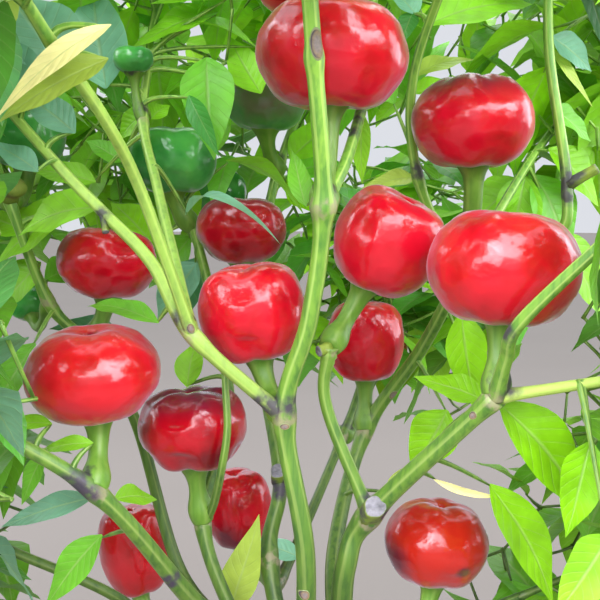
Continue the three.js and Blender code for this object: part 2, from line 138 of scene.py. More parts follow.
# Stems: the main stem rises from the ground with a root flare and forks again and again, a swollen knot
# at every fork. The skin is green, waxy and ribbed, corky and brown low on the main stem, and purple-black
# in the forks. Each limb is a tube of rings along the same line as its solid, with ribs and wrinkles.
# The forks, bends and tips, in mm, and each limb's radii from foot to tip with the places that it passes:
PLACES = {
    "foot": (0, 0, 0), "collar": (0, 0, 14), "waist": (-4, -3, 78), "crotch": (0, -14, 150),
    "leftArm": (-20, -8, 174), "rightArm": (13, -12, 176), "frontLow": (2, -34, 216),
    "frontFork": (-5, -39, 266), "frontMid": (3, -48, 299), "frontRing": (7, -57, 334),
    "frontHigh": (4, -70, 376), "frontTip": (1, -78, 412), "rightLow": (16, -20, 208),
    "rightFork": (24, -23, 228), "rightElbow": (60, -56, 276), "rightBend": (61, -66, 290),
    "rightMid": (63, -76, 302), "rightTip": (86, -92, 330), "rightLowTip": (100, -56, 282),
    "innerMid": (9, -21, 266), "innerRing": (10, -22, 286), "backLow": (14, 30, 198),
    "backFork": (28, 62, 237), "backMid": (50, 51, 274), "backNode": (62, 28, 306),
    "edgeMid": (92, 6, 322), "edgeNode": (96, 4, 341), "edgeHigh": (90, 10, 388),
    "edgeTip": (90, 14, 422), "loopNode": (44, 17, 344), "loopMid": (41, 11, 379),
    "loopTip": (52, -8, 418), "farMid": (94, 65, 348), "farTip": (112, 92, 366),
    "centreLow": (-12, 19, 196), "centreNode": (-8, 32, 225), "centreMid": (-17, 60, 268),
    "centreFork": (-21, 76, 296), "centreHigh": (-10, 100, 348), "centreTip": (4, 118, 388),
    "leftLow": (-38, -21, 197), "leftFork": (-65, -51, 245), "leftTip": (-106, -60, 273),
    "sideLow": (-48, 29, 188), "sideMid": (-67, 40, 247), "sideFork": (-84, 32, 279),
    "sideTurn": (-97, 25, 297), "sideNode": (-109, 18, 336), "sideTip": (-120, 32, 356),
    "midFork": (-36, 1, 218), "midLow": (-28, 31, 257), "midHigh": (-46, 74, 324),
    "midNode": (-58, 98, 342), "midTip": (-64, 116, 354), "forkLeft": (-34, -46, 294),
    "turnLeft": (-48, -36, 316), "nodeLeft": (-66, -22, 332), "bendLeft": (-80, -15, 345),
    "tipLeft": (-106, -3, 372), "nearMid": (-46, -66, 338), "nearBend": (-52, -90, 358),
    "nearTip": (-60, -112, 374), "backLeftMid": (-51, 4, 339), "backLeftNode": (-61, 36, 366),
    "backLeftTip": (-61, 54, 392), "topMid": (16, -34, 352), "topHigh": (25, -4, 386),
    "topTip": (26, 14, 420), "lowLeftFork": (-50, 26, 160), "lowLeftMid": (-72, 10, 186),
    "lowLeftNode": (-105, 6, 203), "lowLeftTip": (-118, 6, 209), "lowRightFork": (42, 2, 170),
    "lowRightTip": (84, 12, 184), "rearFork": (-9, 58, 172), "rearMid": (20, 98, 226),
    "rearTip": (34, 116, 262),
}
LIMBS = {
    "main_stem": ((11.5, 8.2, 7, 6.6), "foot collar waist crotch"),
    "stem_front": ((3.6, 2.2), "crotch frontLow frontFork frontMid frontRing frontHigh frontTip"),
    "stem_right": ((4.4, 2.8), "crotch rightArm rightLow rightFork rightElbow"),
    "stem_left": ((4.2, 1.9), "crotch leftArm leftLow leftFork leftTip"),
    "stem_centre": ((3.4, 1.9), "crotch centreLow centreNode centreMid centreFork centreHigh centreTip"),
    "stem_back": ((3.3, 2.5), "rightArm backLow backFork backMid backNode"),
    "stem_side": ((2.7, 1.8), "leftArm sideLow sideMid sideFork sideTurn sideNode sideTip"),
    "stem_mid": ((2.6, 1.7), "leftArm midFork midLow midHigh midNode midTip"),
    "stem_rear": ((2.6, 1.8), "centreLow rearFork rearMid rearTip"),
    "stem_low_left": ((2.7, 1.7), "crotch lowLeftFork lowLeftMid lowLeftNode lowLeftTip"),
    "stem_low_right": ((2.7, 1.8), "crotch lowRightFork lowRightTip"),
    "stem_inner": ((2.3, 2), "rightFork innerMid innerRing"),
    "bough_right": ((2.3, 1.7), "rightElbow rightBend rightMid rightTip"),
    "bough_right_low": ((1.9, 1.6), "rightElbow rightLowTip"),
    "bough_edge": ((2.2, 1.7), "backNode edgeMid edgeNode edgeHigh edgeTip"),
    "bough_loop": ((2, 1.6), "backNode loopNode loopMid loopTip"),
    "bough_far": ((2, 1.7), "backNode farMid farTip"),
    "bough_left": ((2.4, 1.7), "frontFork forkLeft turnLeft nodeLeft bendLeft tipLeft"),
    "bough_near": ((1.9, 1.6), "forkLeft nearMid nearBend nearTip"),
    "bough_back_left": ((2, 1.7), "forkLeft backLeftMid backLeftNode backLeftTip"),
    "bough_top": ((2, 1.7), "frontRing topMid topHigh topTip"),
}
STATION_STEP, FORK_SWELL = 20, 1.4
RING_STEP, STEM_SIDES, MAIN_STEM_SIDES = 1.5, 20, 40
STEM_RIBS, RIB_HEIGHT, RIB_TWIST = 5, 0.055, 0.012
KNOT_REACH, KNOT_SWELL, KNOT_WRINKLE = 6.5, 0.34, 0.1
RING_REACH, RING_SWELL, RING_WRINKLE = 4.5, 0.16, 0.28
WRINKLE_PITCH, ROOT_FLARE_HEIGHT = 1.5, 16


def place(name):
    return np.array(PLACES[name], float)


def unit(a):
    return a / np.linalg.norm(a)


def fade(away, reach):
    """A share that falls from 1 at no distance to nearly 0 at twice the reach"""
    return np.exp(-(away / reach) ** 2)


def turns(sides):
    """How far round a ring each of its corners is"""
    return np.arange(sides) * 2 * np.pi / sides


def all_round(row, sides):
    """One value for each ring, given to all its corners"""
    return np.repeat(np.asarray(row, float)[:, None], sides, 1)


def walked_along(line):
    """The length of a line up to each of its points"""
    return np.concatenate([[0], np.cumsum(np.linalg.norm(np.diff(line, axis=0), axis=1))])


def spline(points, at):
    """Points of the smooth line through the given points, at values from 0 to the last one's number"""
    p = np.vstack([2 * points[0] - points[1], points, 2 * points[-1] - points[-2]])
    at = np.clip(np.asarray(at, float), 0, len(points) - 1)
    i = np.minimum(at.astype(int), len(points) - 2)
    t = (at - i)[:, None]
    a, b, c, d = p[i], p[i + 1], p[i + 2], p[i + 3]
    from_b, to_c = (c - a) / 2, (d - b) / 2
    return (b + from_b * t + (3 * (c - b) - 2 * from_b - to_c) * t ** 2
            + (2 * (b - c) + from_b + to_c) * t ** 3)


def limb_line(radii, through):
    """The solid's own stations along a limb, with their places on the spline and their radii"""
    names = through.split()
    points = np.array([place(name) for name in names])
    at, swell = [], []
    for i in range(len(names) - 1):
        steps = max(1, math.floor(np.linalg.norm(points[i + 1] - points[i]) / STATION_STEP + 0.5))
        at += [i + j / steps for j in range(steps)]
        swell += [FORK_SWELL if j == 0 and names[i] in forked else 1 for j in range(steps)]
    at.append(len(names) - 1)
    swell.append(FORK_SWELL if names[-1] in forked else 1)
    share = np.linspace(0, len(radii) - 1, len(at))
    plain = np.interp(share, range(len(radii)), radii)
    return spline(points, at), np.array(at), plain, plain * swell


def rings(stations, radii):
    """Rings of corners square to a line, one row of radii for each ring"""
    last = len(stations) - 1
    turn = turns(radii.shape[1])
    side = np.array([1, 0.2, 0.1])
    made = np.empty((*radii.shape, 3))
    for i, p in enumerate(stations):
        way = unit(stations[min(i + 1, last)] - stations[max(i - 1, 0)])
        side = unit(side - side.dot(way) * way)
        across = np.cross(way, side)
        out = np.outer(np.cos(turn), side) + np.outer(np.sin(turn), across)
        made[i] = p + out * radii[i][:, None]
    return made


def ring_faces(count, sides):
    """The four-sided faces between neighbouring rings"""
    a = (np.arange(count - 1)[:, None] * sides + np.arange(sides)).ravel()
    b = (np.arange(count - 1)[:, None] * sides + (np.arange(sides) + 1) % sides).ravel()
    return np.stack([a, b, b + sides, a + sides], 1)


def tube_part(stations, radii, values):
    """A closed tube: its corners, its faces, and its values at each corner"""
    count, sides = radii.shape
    corners = np.vstack([rings(stations, radii).reshape(-1, 3), stations[:1], stations[-1:]])
    k = np.arange(sides)
    next_k = (k + 1) % sides
    foot, head, top = count * sides, count * sides + 1, (count - 1) * sides
    faces = [ring_faces(count, sides),
             np.stack([np.full(sides, foot), next_k, k], 1),
             np.stack([np.full(sides, head), top + k, top + next_k], 1)]
    layers = {name: np.concatenate([np.ravel(row), [np.mean(row[0]), np.mean(row[-1])]])
              for name, row in values.items()}
    return {"corners": corners, "faces": faces, "values": layers}


def add_piece(name, parts, material):
    """One smooth mesh piece from parts given in mm, with the values of its corners as attributes"""
    faces, first = [], 0
    for part in parts:
        for rows in part["faces"]:
            faces += (rows + first).tolist()
        first += len(part["corners"])
    mesh = bpy.data.meshes.new(name)
    mesh.from_pydata(np.vstack([part["corners"] for part in parts]) * 0.001, [], faces)
    for layer in parts[0]["values"]:
        held = np.concatenate([part["values"][layer] for part in parts]).astype(np.float32)
        if held.ndim == 1:
            mesh.attributes.new(layer, "FLOAT", "POINT").data.foreach_set("value", held)
        elif held.shape[1] == 4:
            mesh.attributes.new(layer, "FLOAT_COLOR", "POINT").data.foreach_set("color", held.ravel())
        else:
            on_corner = np.empty(len(mesh.loops), int)
            mesh.loops.foreach_get("vertex_index", on_corner)
            mesh.uv_layers.new(name=layer).data.foreach_set("uv", held[on_corner].ravel())
    mesh.shade_smooth()
    mesh.materials.append(material)
    piece = bpy.data.objects.new(name, mesh)
    bpy.context.scene.collection.objects.link(piece)
    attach(piece, "root")
    return piece


# Each fruit: its fork, its middle, its width and height, how it leans, and its colour
FRUITS = {
    "fruit_front_top": ("frontRing", (10, -39, 381), 48, 34, (0.05, 0), "red"),
    "fruit_right_top": ("backNode", (61, 0, 363), 44, 33, (-0.04, 0), "red"),
    "fruit_right": ("rightElbow", (63, -50, 315), 48, 35, (0.06, 0), "red"),
    "fruit_inner": ("innerRing", (30, -13, 321), 38, 37, (0.5, -0.15), "red"),
    "fruit_heart": ("frontFork", (-16, -23, 298), 37, 33, (-0.15, 0), "red"),
    "fruit_behind": ("backFork", (28, 67, 275), 34, 34, (0, 0), "red"),
    "fruit_left": ("leftFork", (-67, -39, 280), 44, 31, (-0.08, 0), "red"),
    "fruit_mid": ("midFork", (-39, -1, 253), 40, 31, (-0.05, 0), "dark_red"),
    "fruit_side": ("sideFork", (-75, 31, 311), 39, 27, (0.05, 0), "red"),
    "fruit_centre": ("centreFork", (-24, 55, 323), 38, 27, (0, 0), "dark_red"),
    "fruit_low_right": ("lowRightFork", (52, 11, 206), 40, 34, (0.1, 0), "red"),
    "fruit_low_left": ("lowLeftFork", (-71, 58, 186), 31, 38, (-0.1, 0), "red"),
    "fruit_low_rear": ("rearFork", (-28, 80, 197), 31, 34, (-0.1, 0), "red"),
    "fruit_green": ("midHigh", (-54, 71, 352), 37, 28, (0, 0), "green"),
    "fruit_green_high": ("centreHigh", (-15, 89, 378), 36, 25, (0, 0), "green"),
    "fruit_green_small": ("backLeftNode", (-65, 41, 390), 16, 13, (0, 0), "green"),
    "fruit_green_side": ("sideTurn", (-112, 53, 294), 19, 15, (-0.4, 0.6), "green"),
    "fruit_rear": ("rearMid", (37, 140, 260), 34, 30, (0.2, 0.3), "red"),
    "fruit_rear_left": ("midNode", (-40, 132, 338), 28, 24, (0.25, 0.4), "green"),
    "fruit_crown": ("topHigh", (2, 4, 414), 36, 27, (-0.3, 0), "red"),
    "fruit_side_high": ("sideNode", (-112, 55, 362), 33, 27, (0, 0.1), "green"),
}
forked = {row[1].split()[0] for row in LIMBS.values()} | {row[0] for row in FRUITS.values()}
ring_knots = np.array([place(name) for name in "frontRing innerRing frontHigh loopNode edgeNode".split()])
dice_turn = np.random.default_rng(11)

# The dark axils: between any two limbs or stalks that leave a fork, and at these nodes of leaves and scars
leaving = {name: [] for name in forked}
for _, through in LIMBS.values():
    points = np.array([place(word) for word in through.split()])
    for i, word in enumerate(through.split()[:-1]):
        if word in forked:
            leaving[word].append(unit(spline(points, [i + 0.25])[0] - place(word)))
for fork, middle, *_ in FRUITS.values():
    leaving[fork].append(unit(np.array(middle) - place(fork) - (0, 0, 14)))
AXIL_HEIGHT, STAIN_REACH = 5.5, 4.6
OTHER_STAINS = (
    (19, -28, 364), (21, -25, 368), (59, -73, 299), (60, -72, 304), (94, 3, 341), (98, 3, 345), (92, 6, 348),
    (-66, -54, 245), (-71, -54, 250), (-44, -30, 208), (-12, -42, 272), (44, 15, 347), (-66, -24, 330),
    (20, -28.5, 230), (29, -28.5, 229), (25, -30.5, 224.5), (-65, 35, 384), (-61, 36, 386), (-69, 36, 386),
    (-11.5, 29, 224), (-4.5, 29, 224), (-8, 27, 221.5), (17, -31.5, 360), (23, -21, 373), (96, 1, 337),
    (99, 2, 350), (-69, -55, 248), (-10, -43, 268.5), (-2, -43, 270.5),
)
axils = np.array([place(name) + unit(one + two) * AXIL_HEIGHT for name, ways in leaving.items()
                  for i, one in enumerate(ways) for two in ways[:i]] + list(OTHER_STAINS), float)


def stain_at(corners):
    """How near each corner is to the crotch of a fork, where the skin is dark"""
    flat = corners.reshape(-1, 3)
    away = np.linalg.norm(flat[:, None] - axils[None], axis=2).min(1)
    return fade(away, STAIN_REACH).reshape(corners.shape[:-1])


# Painted light: limbs that stand in more light are painted yellower, by how much
PAINTED_LIGHT_PALE = {"bough_right_low": 0.9, "bough_left": 0.4, "bough_near": 0.3, "bough_back_left": 0.2}


def limb_part(name, radii, through):
    """A limb with ribs along it, knots at its forks and wrinkles round its knots"""
    stations, at, plain, _ = limb_line(radii, through)
    points = np.array([place(word) for word in through.split()])
    length = np.sum(np.linalg.norm(np.diff(stations, axis=0), axis=1))
    fine_at = np.linspace(0, len(points) - 1, max(4, int(length / RING_STEP)))
    fine = spline(points, fine_at)
    radius = np.interp(fine_at, at, plain)
    sides = MAIN_STEM_SIDES if name == "main_stem" else STEM_SIDES
    turn = turns(sides)
    own = np.array([place(word) for word in through.split() if word in forked])
    near = np.linalg.norm(fine[:, None] - own[None], axis=2).min(1)
    knot = fade(near, KNOT_REACH)
    near_ring = np.linalg.norm(fine[:, None] - ring_knots[None], axis=2).min(1)
    ring = fade(near_ring, RING_REACH)
    swell = 1 + KNOT_SWELL * knot + RING_SWELL * ring
    twist = RIB_TWIST * walked_along(fine)[:, None]
    rib = 0.5 + 0.5 * np.cos(turn * STEM_RIBS + twist + dice_turn.uniform(0, 6))
    shaped = radius[:, None] * swell[:, None] * (1 + RIB_HEIGHT * (rib - 0.5) * (1 - 0.6 * knot[:, None]))
    wrinkle = np.cos(near_ring / WRINKLE_PITCH * 2 * np.pi) * RING_WRINKLE * ring
    wrinkle += np.cos(near / WRINKLE_PITCH * 2 * np.pi) * KNOT_WRINKLE * knot
    shaped += wrinkle[:, None]
    if name == "main_stem":
        flare = np.exp(-fine[:, 2] / ROOT_FLARE_HEIGHT)[:, None]
        shaped *= 1 + flare * (0.16 + 0.12 * np.cos(4 * turn + 0.7) + 0.06 * np.cos(7 * turn))
    values = {"rib": rib, "knot": all_round(knot, sides), "stain": stain_at(rings(fine, shaped)),
              "pale": np.full(shaped.shape, PAINTED_LIGHT_PALE.get(name, 0.0))}
    return tube_part(fine, shaped, values)


def add_patches(tree, tone, share, patch, low, high, most, colour):
    """A tone with another colour laid over it in patches, where the share times a patchy noise is high"""
    strong = add_node(tree, "Math", {0: share, 1: patch}, operation="MULTIPLY")
    strong = add_node(tree, "MapRange", {"Value": strong, "From Min": low, "From Max": high, "To Max": most})
    return add_node(tree, "MixRGB", {"Fac": strong, "Color1": tone, "Color2": colour})


# Young stem skin: waxy green with pale ribs, long soft stripes of darker green and a fine grain in the
# bump. The crotch of each fork is stained purple-black, in patches.
stem_skin, tree = new_material("green_stem_skin")
where = add_node(tree, "TexCoord", out="Object")
drawn_out = add_node(tree, "Mapping", {"Vector": where, "Scale": (1, 1, 0.06)})
streak = add_node(tree, "TexNoise", {"Vector": drawn_out, "Scale": 480.0, "Detail": 3.0})
blotch = add_node(tree, "TexNoise", {"Vector": where, "Scale": 90.0, "Detail": 3.0})
patch = add_node(tree, "TexNoise", {"Vector": where, "Scale": 330.0, "Detail": 4.0})
rib, knot, stain, pale = (add_node(tree, "Attribute", out="Fac", attribute_name=name)
                          for name in ("rib", "knot", "stain", "pale"))
green = add_node(tree, "MixRGB", {"Fac": blotch, "Color1": "#4D7B26", "Color2": "#7B9F39"})
streaked = add_node(tree, "MapRange", {"Value": streak, "From Min": 0.44, "From Max": 0.66, "To Max": 0.75})
green = add_node(tree, "MixRGB", {"Fac": streaked, "Color1": green, "Color2": "#3A6726"})
ridge = add_node(tree, "MapRange", {"Value": rib, "From Min": 0.62, "From Max": 1.0, "To Max": 0.7})
green = add_node(tree, "MixRGB", {"Fac": ridge, "Color1": green, "Color2": "#9CB25D"})
# Painted light: limbs in more light are mixed towards a pale yellow-green
green = add_node(tree, "MixRGB", {"Fac": pale, "Color1": green, "Color2": "#ABC35B"})
# Painted shade and light: low stems are darkened and high ones lightened, as the crown shades the lower stems
height = add_node(tree, "SeparateXYZ", {"Vector": where}, "Z")
painted_shade_by_height = add_node(tree, "MapRange", {
    "Value": height, "From Min": 0.18, "From Max": 0.36, "To Min": 0.3, "To Max": 1.2})
green = add_node(tree, "MixRGB", {"Fac": 1.0, "Color1": green, "Color2": painted_shade_by_height}, blend_type="MULTIPLY")
callused = add_patches(tree, green, knot, patch, 0.38, 0.54, 0.65, "#837662")
stained = add_patches(tree, callused, stain, patch, 0.18, 0.42, 0.9, "#312439")
grain = add_node(tree, "Bump", {"Height": streak, "Strength": 0.3, "Distance": 0.0004})
surface = add_node(tree, "BsdfPrincipled", {
    "Base Color": stained, "Roughness": 0.48, "Normal": grain, "Specular IOR Level": 0.4,
    "Subsurface Weight": 0.08, "Subsurface Radius": (0.4, 1.0, 0.2), "Subsurface Scale": 0.002})
add_node(tree, "OutputMaterial", {"Surface": surface})

# Corky bark of the old stem: tan to grey-brown with long cracks, green again towards the first fork
cork, tree = new_material("corky_stem_bark")
where = add_node(tree, "TexCoord", out="Object")
drawn_out = add_node(tree, "Mapping", {"Vector": where, "Scale": (1, 1, 0.18)})
crack = add_node(tree, "TexNoise", {"Vector": drawn_out, "Scale": 420.0, "Detail": 6.0})
height = add_node(tree, "SeparateXYZ", {"Vector": where}, "Z")
young = add_node(tree, "MapRange", {"Value": height, "From Min": 0.05, "From Max": 0.135, "To Max": 0.9})
brown = add_node(tree, "MixRGB", {"Fac": crack, "Color1": "#403423", "Color2": "#807153"})
green = add_node(tree, "MixRGB", {"Fac": crack, "Color1": "#2C5320", "Color2": "#61823E"})
bark = add_node(tree, "MixRGB", {"Fac": young, "Color1": brown, "Color2": green})
grain = add_node(tree, "Bump", {"Height": crack, "Strength": 0.8, "Distance": 0.0012})
surface = add_node(tree, "BsdfPrincipled", {"Base Color": bark, "Roughness": 0.7, "Normal": grain})
add_node(tree, "OutputMaterial", {"Surface": surface})

limb_parts = {name: limb_part(name, *row) for name, row in LIMBS.items()}
main_stem = add_piece("main_stem_skin", [limb_parts.pop("main_stem")], cork)
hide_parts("main_stem")
stems = add_piece("stems_skin", list(limb_parts.values()), stem_skin)
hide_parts(*limb_parts)


# Stubs and scars: where a shoot was pinched off close to a fork there is a short stump with a dried pale
# face, and where a leaf or a berry fell there is an oval scar with a corky rim. One bud never opened.
STUB_SIDES = 20
# Each stub: its fork, the way it points, its radius and length, and its kind
STUBS = (
    ("rightFork", (0.12, -0.83, 0.54), 3.6, 10.5, "cut"), ("centreNode", (-0.1, -0.75, 0.65), 3.0, 7, "cut"),
    ("nodeLeft", (0.2, -0.5, -0.84), 1.2, 8, "cut"), ("innerRing", (-0.8, -0.5, -0.2), 1.9, 4.6, "cut"),
    ("edgeNode", (0.84, -0.15, 0.5), 1.9, 12, "cut"), ("sideNode", (0.42, -0.5, 0.78), 4.7, 10, "bud"),
)
# Along each kind of stub, from its foot to the middle of its end: how far, how wide, how much it is cut
# face and how much brown
STUB_KINDS = {
    "cut": (
        (0, 0.35, 0.7, 0.9, 0.98, 1.0, 0.985, 0.95, 0.94),
        (1.3, 1.12, 1.02, 1.04, 1.02, 0.94, 0.82, 0.6, 0.2),
        (0, 0, 0, 0, 0.4, 1, 1, 1, 1), (0, 0, 0, 0, 0, 0, 0, 0, 0.4)),
    "bud": (
        (0, 0.2, 0.38, 0.48, 0.62, 0.76, 0.9, 0.98, 1.0),
        (0.75, 0.66, 0.8, 1.02, 1.08, 1.0, 0.72, 0.36, 0.05),
        (0,) * 9, (0, 0.2, 0.8, 0.5, 0.1, 0, 0.1, 0.3, 0.6)),
}
# Each scar: the middle of the stem there, the way out, the way along, its length and width
SCAR_SIDES, SCAR_OUTSIDE, SCAR_SEARCH = 24, 9, 12
SCARS = (
    ((4.5, -71, 380), (0.12, -0.98, -0.14), (-0.08, -0.24, 0.97), 8.8, 4.2),
    ((39, 61, 255), (0.3, -0.93, -0.2), (0.51, -0.33, 0.79), 4.4, 3.2),
    ((55, -52, 270), (-0.6, -0.8, -0.1), (0.53, -0.49, 0.69), 3, 2.4),
    ((-5, -39, 264), (0.03, -0.99, -0.14), (-0.03, -0.14, 0.99), 2.2, 3.2),
    ((-35, -46, 295), (0.4, -0.9, 0.17), (-0.63, 0.08, 0.77), 3, 2.4),
    ((0, -31, 205), (0.4, -0.9, 0.0), (0.03, -0.3, 0.95), 4, 3),
)
# Each rim of a scar: its share of the width, its height, and how much it is pale, brown and dark
SCAR_RIMS = (
    (1.14, -0.25, 0, 0, 0), (1.02, 0.1, 0.5, 0, 0), (0.95, 0.2, 0.5, 0.1, 0), (0.87, 0.14, 0, 0.9, 1),
    (0.74, 0.08, 0.6, 0.85, 0.6), (0.5, 0.16, 1, 0.55, 0), (0.2, 0.22, 1, 0.4, 0),
)
stem_surface = BVHTree.FromPolygons([tuple(v.co * 1000) for v in stems.data.vertices],
                                    [tuple(face.vertices) for face in stems.data.polygons])


def stub_part(fork, way, radius, length, kind):
    """A short stump with a rounded rim and a slightly sunk face, or a round bud that never opened"""
    far, wide, cut, heart = (all_round(row, STUB_SIDES) for row in STUB_KINDS[kind])
    turn = turns(STUB_SIDES)
    radii = radius * wide * (1 + 0.05 * np.cos(3 * turn + 1) + 0.04 * np.cos(5 * turn))
    line = place(fork) + far[:, :1] * length * unit(np.array(way, float))
    stain = stain_at(rings(line, radii)) * (1 - cut)
    return tube_part(line, radii, {"cut": cut, "heart": heart, "stain": stain})


def on_stem(point, out):
    """The point of the stems' surface that is met from outside"""
    met = stem_surface.ray_cast(Vector(point + out * SCAR_OUTSIDE), Vector(-out), SCAR_SEARCH)[0]
    return np.array(met if met else stem_surface.find_nearest(Vector(point))[0])


def scar_part(middle, out, along, long, wide):
    """An oval corky rim that lies on the stem, with a brown dish inside it"""
    middle, out, along = np.array(middle, float), np.array(out, float), unit(np.array(along, float))
    out = unit(out - out.dot(along) * along)
    side = np.cross(along, out)
    turn = turns(SCAR_SIDES)
    corners, cut, heart, stain = [], [], [], []
    for share, high, pale, brown, dark in SCAR_RIMS:
        for angle in turn:
            aside = share * wide / 2 * math.cos(angle) * side + share * long / 2 * math.sin(angle) * along
            corners.append(on_stem(middle + aside, out) + high * out)
        cut += [pale] * SCAR_SIDES
        heart += [brown] * SCAR_SIDES
        stain += list(dark * (0.62 - 0.38 * np.cos(turn)))
    corners = np.vstack(corners + [on_stem(middle, out) + 0.2 * out])
    k = (len(SCAR_RIMS) - 1) * SCAR_SIDES + np.arange(SCAR_SIDES)
    heart_corner = np.full(SCAR_SIDES, len(SCAR_RIMS) * SCAR_SIDES)
    faces = [ring_faces(len(SCAR_RIMS), SCAR_SIDES), np.stack([heart_corner, k, np.roll(k, -1)], 1)]
    values = {"cut": cut + [1], "heart": heart + [0.5], "stain": stain + [0]}
    return {"corners": corners, "faces": faces,
            "values": {layer: np.array(row, float) for layer, row in values.items()}}


# Healed cut: olive skin with purple-black patches up to the rim, then pale grey pith with a brown heart
healed, tree = new_material("healed_cut_skin")
where = add_node(tree, "TexCoord", out="Object")
speck = add_node(tree, "TexNoise", {"Vector": where, "Scale": 900.0, "Detail": 3.0})
cut, heart, stain = (add_node(tree, "Attribute", out="Fac", attribute_name=name)
                     for name in ("cut", "heart", "stain"))
patch = add_node(tree, "TexNoise", {"Vector": where, "Scale": 330.0, "Detail": 4.0})
skin = add_node(tree, "MixRGB", {"Fac": patch, "Color1": "#4E6A24", "Color2": "#86942C"})
pith = add_node(tree, "MixRGB", {"Fac": speck, "Color1": "#4E4D51", "Color2": "#7E7C82"})
brown = add_node(tree, "MixRGB", {"Fac": speck, "Color1": "#4A3826", "Color2": "#866B4B"})
tone = add_node(tree, "MixRGB", {"Fac": cut, "Color1": skin, "Color2": pith})
tone = add_node(tree, "MixRGB", {"Fac": heart, "Color1": tone, "Color2": brown})
tone = add_patches(tree, tone, stain, patch, 0.18, 0.4, 0.9, "#2A2338")
grain = add_node(tree, "Bump", {"Height": speck, "Strength": 0.5, "Distance": 0.0004})
surface = add_node(tree, "BsdfPrincipled", {"Base Color": tone, "Roughness": 0.65, "Normal": grain})
add_node(tree, "OutputMaterial", {"Surface": surface})

healed_parts = [stub_part(*row) for row in STUBS] + [scar_part(*row) for row in SCARS]
stubs = add_piece("stubs_and_scars", healed_parts, healed)


# Fruit stalks: one to each berry, thick, ribbed and pale green, with a swollen ring where it leaves the
# fork. Under the berry it flares into the calyx, a shallow cup with five blunt teeth.
STALK_RADIUS, STALK_SIDES, STALK_RINGS, CALYX_TEETH = 2.9, 24, 40, 5
BULGE, BULGE_AT, SLIMMER, SLIM_AT, BULGE_REACH = 0.55, 4.2, 0.1, 13, 5


def arc(start, bend, end, t):
    """Points of the plain curve from start to end that bends towards bend"""
    return (1 - t) ** 2 * start + 2 * t * (1 - t) * bend + t * t * end


def stalk_line(fork, middle, width, height, lean):
    """The solid's own line of a fruit stalk: the way up into the berry, its stations and its radii"""
    up = unit(np.array([*lean, 1.0]))
    seat = np.array(middle) - 0.42 * height * up
    start = place(fork)
    bend = seat - 0.5 * np.linalg.norm(start - seat) * up
    stations = np.array([*(arc(start, bend, seat, t) for t in (0, 0.3, 0.6, 0.85)),
                         seat - 0.02 * height * up, seat + 0.06 * height * up])
    wide = STALK_RADIUS * min(1, width / 30)
    cup = min(0.24 * width, 9)
    return up, start, bend, seat, stations, np.array([wide, wide, 1.1 * wide, 1.4 * wide, cup, 0.9 * cup])


def stalk_part(fork, middle, width, height, lean, ripeness):
    """One stalk: a bulge where it leaves the fork, a slim neck, and the flare of the calyx at its end"""
    up, start, bend, seat, _, _ = stalk_line(fork, middle, width, height, lean)
    line = arc(start, bend, seat, np.linspace(0, 1, STALK_RINGS)[:, None])
    line = np.vstack([line[:-1], seat - 0.01 * up, seat + 0.035 * height * up, seat + 0.065 * height * up,
                      seat + 0.055 * height * up])
    walked = walked_along(line)
    length = walked[-1]
    small = min(1, width / 30)
    wide = STALK_RADIUS * small
    cup = min(0.27 * width, 10)
    left = (length - walked) / (5.2 * small)
    radius = wide * (1.08 + 0.12 * walked / length) + (cup - 1.2 * wide) * np.exp(-(left * 1.3) ** 1.4)
    radius += wide * BULGE * fade(walked - BULGE_AT, BULGE_REACH)
    radius -= wide * SLIMMER * fade(walked - SLIM_AT, BULGE_REACH)
    radius[-1] *= 0.8
    rib = 0.5 + 0.5 * np.cos(turns(STALK_SIDES) * CALYX_TEETH)
    flare = np.exp(-(left * 1.6) ** 2)[:, None]
    shaped = radius[:, None] * (1 + 0.07 * (rib - 0.5) + 0.1 * flare * (rib - 0.4))
    values = {"rib": np.tile(rib, (len(line), 1)), "stain": stain_at(rings(line, shaped))}
    return tube_part(line, shaped, values)


# Stalk skin: the same wax as on the stems, paler and yellower
stalk_skin, tree = new_material("fruit_stalk_skin")
where = add_node(tree, "TexCoord", out="Object")
drawn_out = add_node(tree, "Mapping", {"Vector": where, "Scale": (1, 1, 0.12)})
streak = add_node(tree, "TexNoise", {"Vector": drawn_out, "Scale": 420.0, "Detail": 3.0})
patch = add_node(tree, "TexNoise", {"Vector": where, "Scale": 330.0, "Detail": 4.0})
rib, stain = (add_node(tree, "Attribute", out="Fac", attribute_name=name) for name in ("rib", "stain"))
green = add_node(tree, "MixRGB", {"Fac": streak, "Color1": "#376115", "Color2": "#698B30"})
ridge = add_node(tree, "MapRange", {"Value": rib, "From Min": 0.6, "From Max": 1.0, "To Max": 0.4})
green = add_node(tree, "MixRGB", {"Fac": ridge, "Color1": green, "Color2": "#768A44"})
green = add_patches(tree, green, stain, patch, 0.26, 0.42, 0.85, "#2C2231")
grain = add_node(tree, "Bump", {"Height": streak, "Strength": 0.3, "Distance": 0.0004})
surface = add_node(tree, "BsdfPrincipled", {
    "Base Color": green, "Roughness": 0.45, "Normal": grain, "Specular IOR Level": 0.4,
    "Subsurface Weight": 0.1, "Subsurface Radius": (0.4, 1.0, 0.2), "Subsurface Scale": 0.002})
add_node(tree, "OutputMaterial", {"Surface": surface})

stalks = add_piece("fruit_stalks", [stalk_part(*row) for row in FRUITS.values()], stalk_skin)


# Berries: flattened globes with shallow lobes, flat shoulders on the calyx and a pin-sized dimple at the
# free end. One half outline is spun round, copied for each fruit, drawn in along its seams and set on
# its stalk. The skin is smooth and glossy, with soft dents.
BERRY_OUTLINE = np.array([
    (0, -0.42), (0.22, -0.46), (0.45, -0.48), (0.68, -0.42), (0.86, -0.28), (0.97, -0.12), (1, 0.02),
    (0.98, 0.17), (0.91, 0.31), (0.79, 0.415), (0.62, 0.475), (0.42, 0.497), (0.24, 0.487), (0.12, 0.46),
    (0.05, 0.43), (0, 0.415),
])
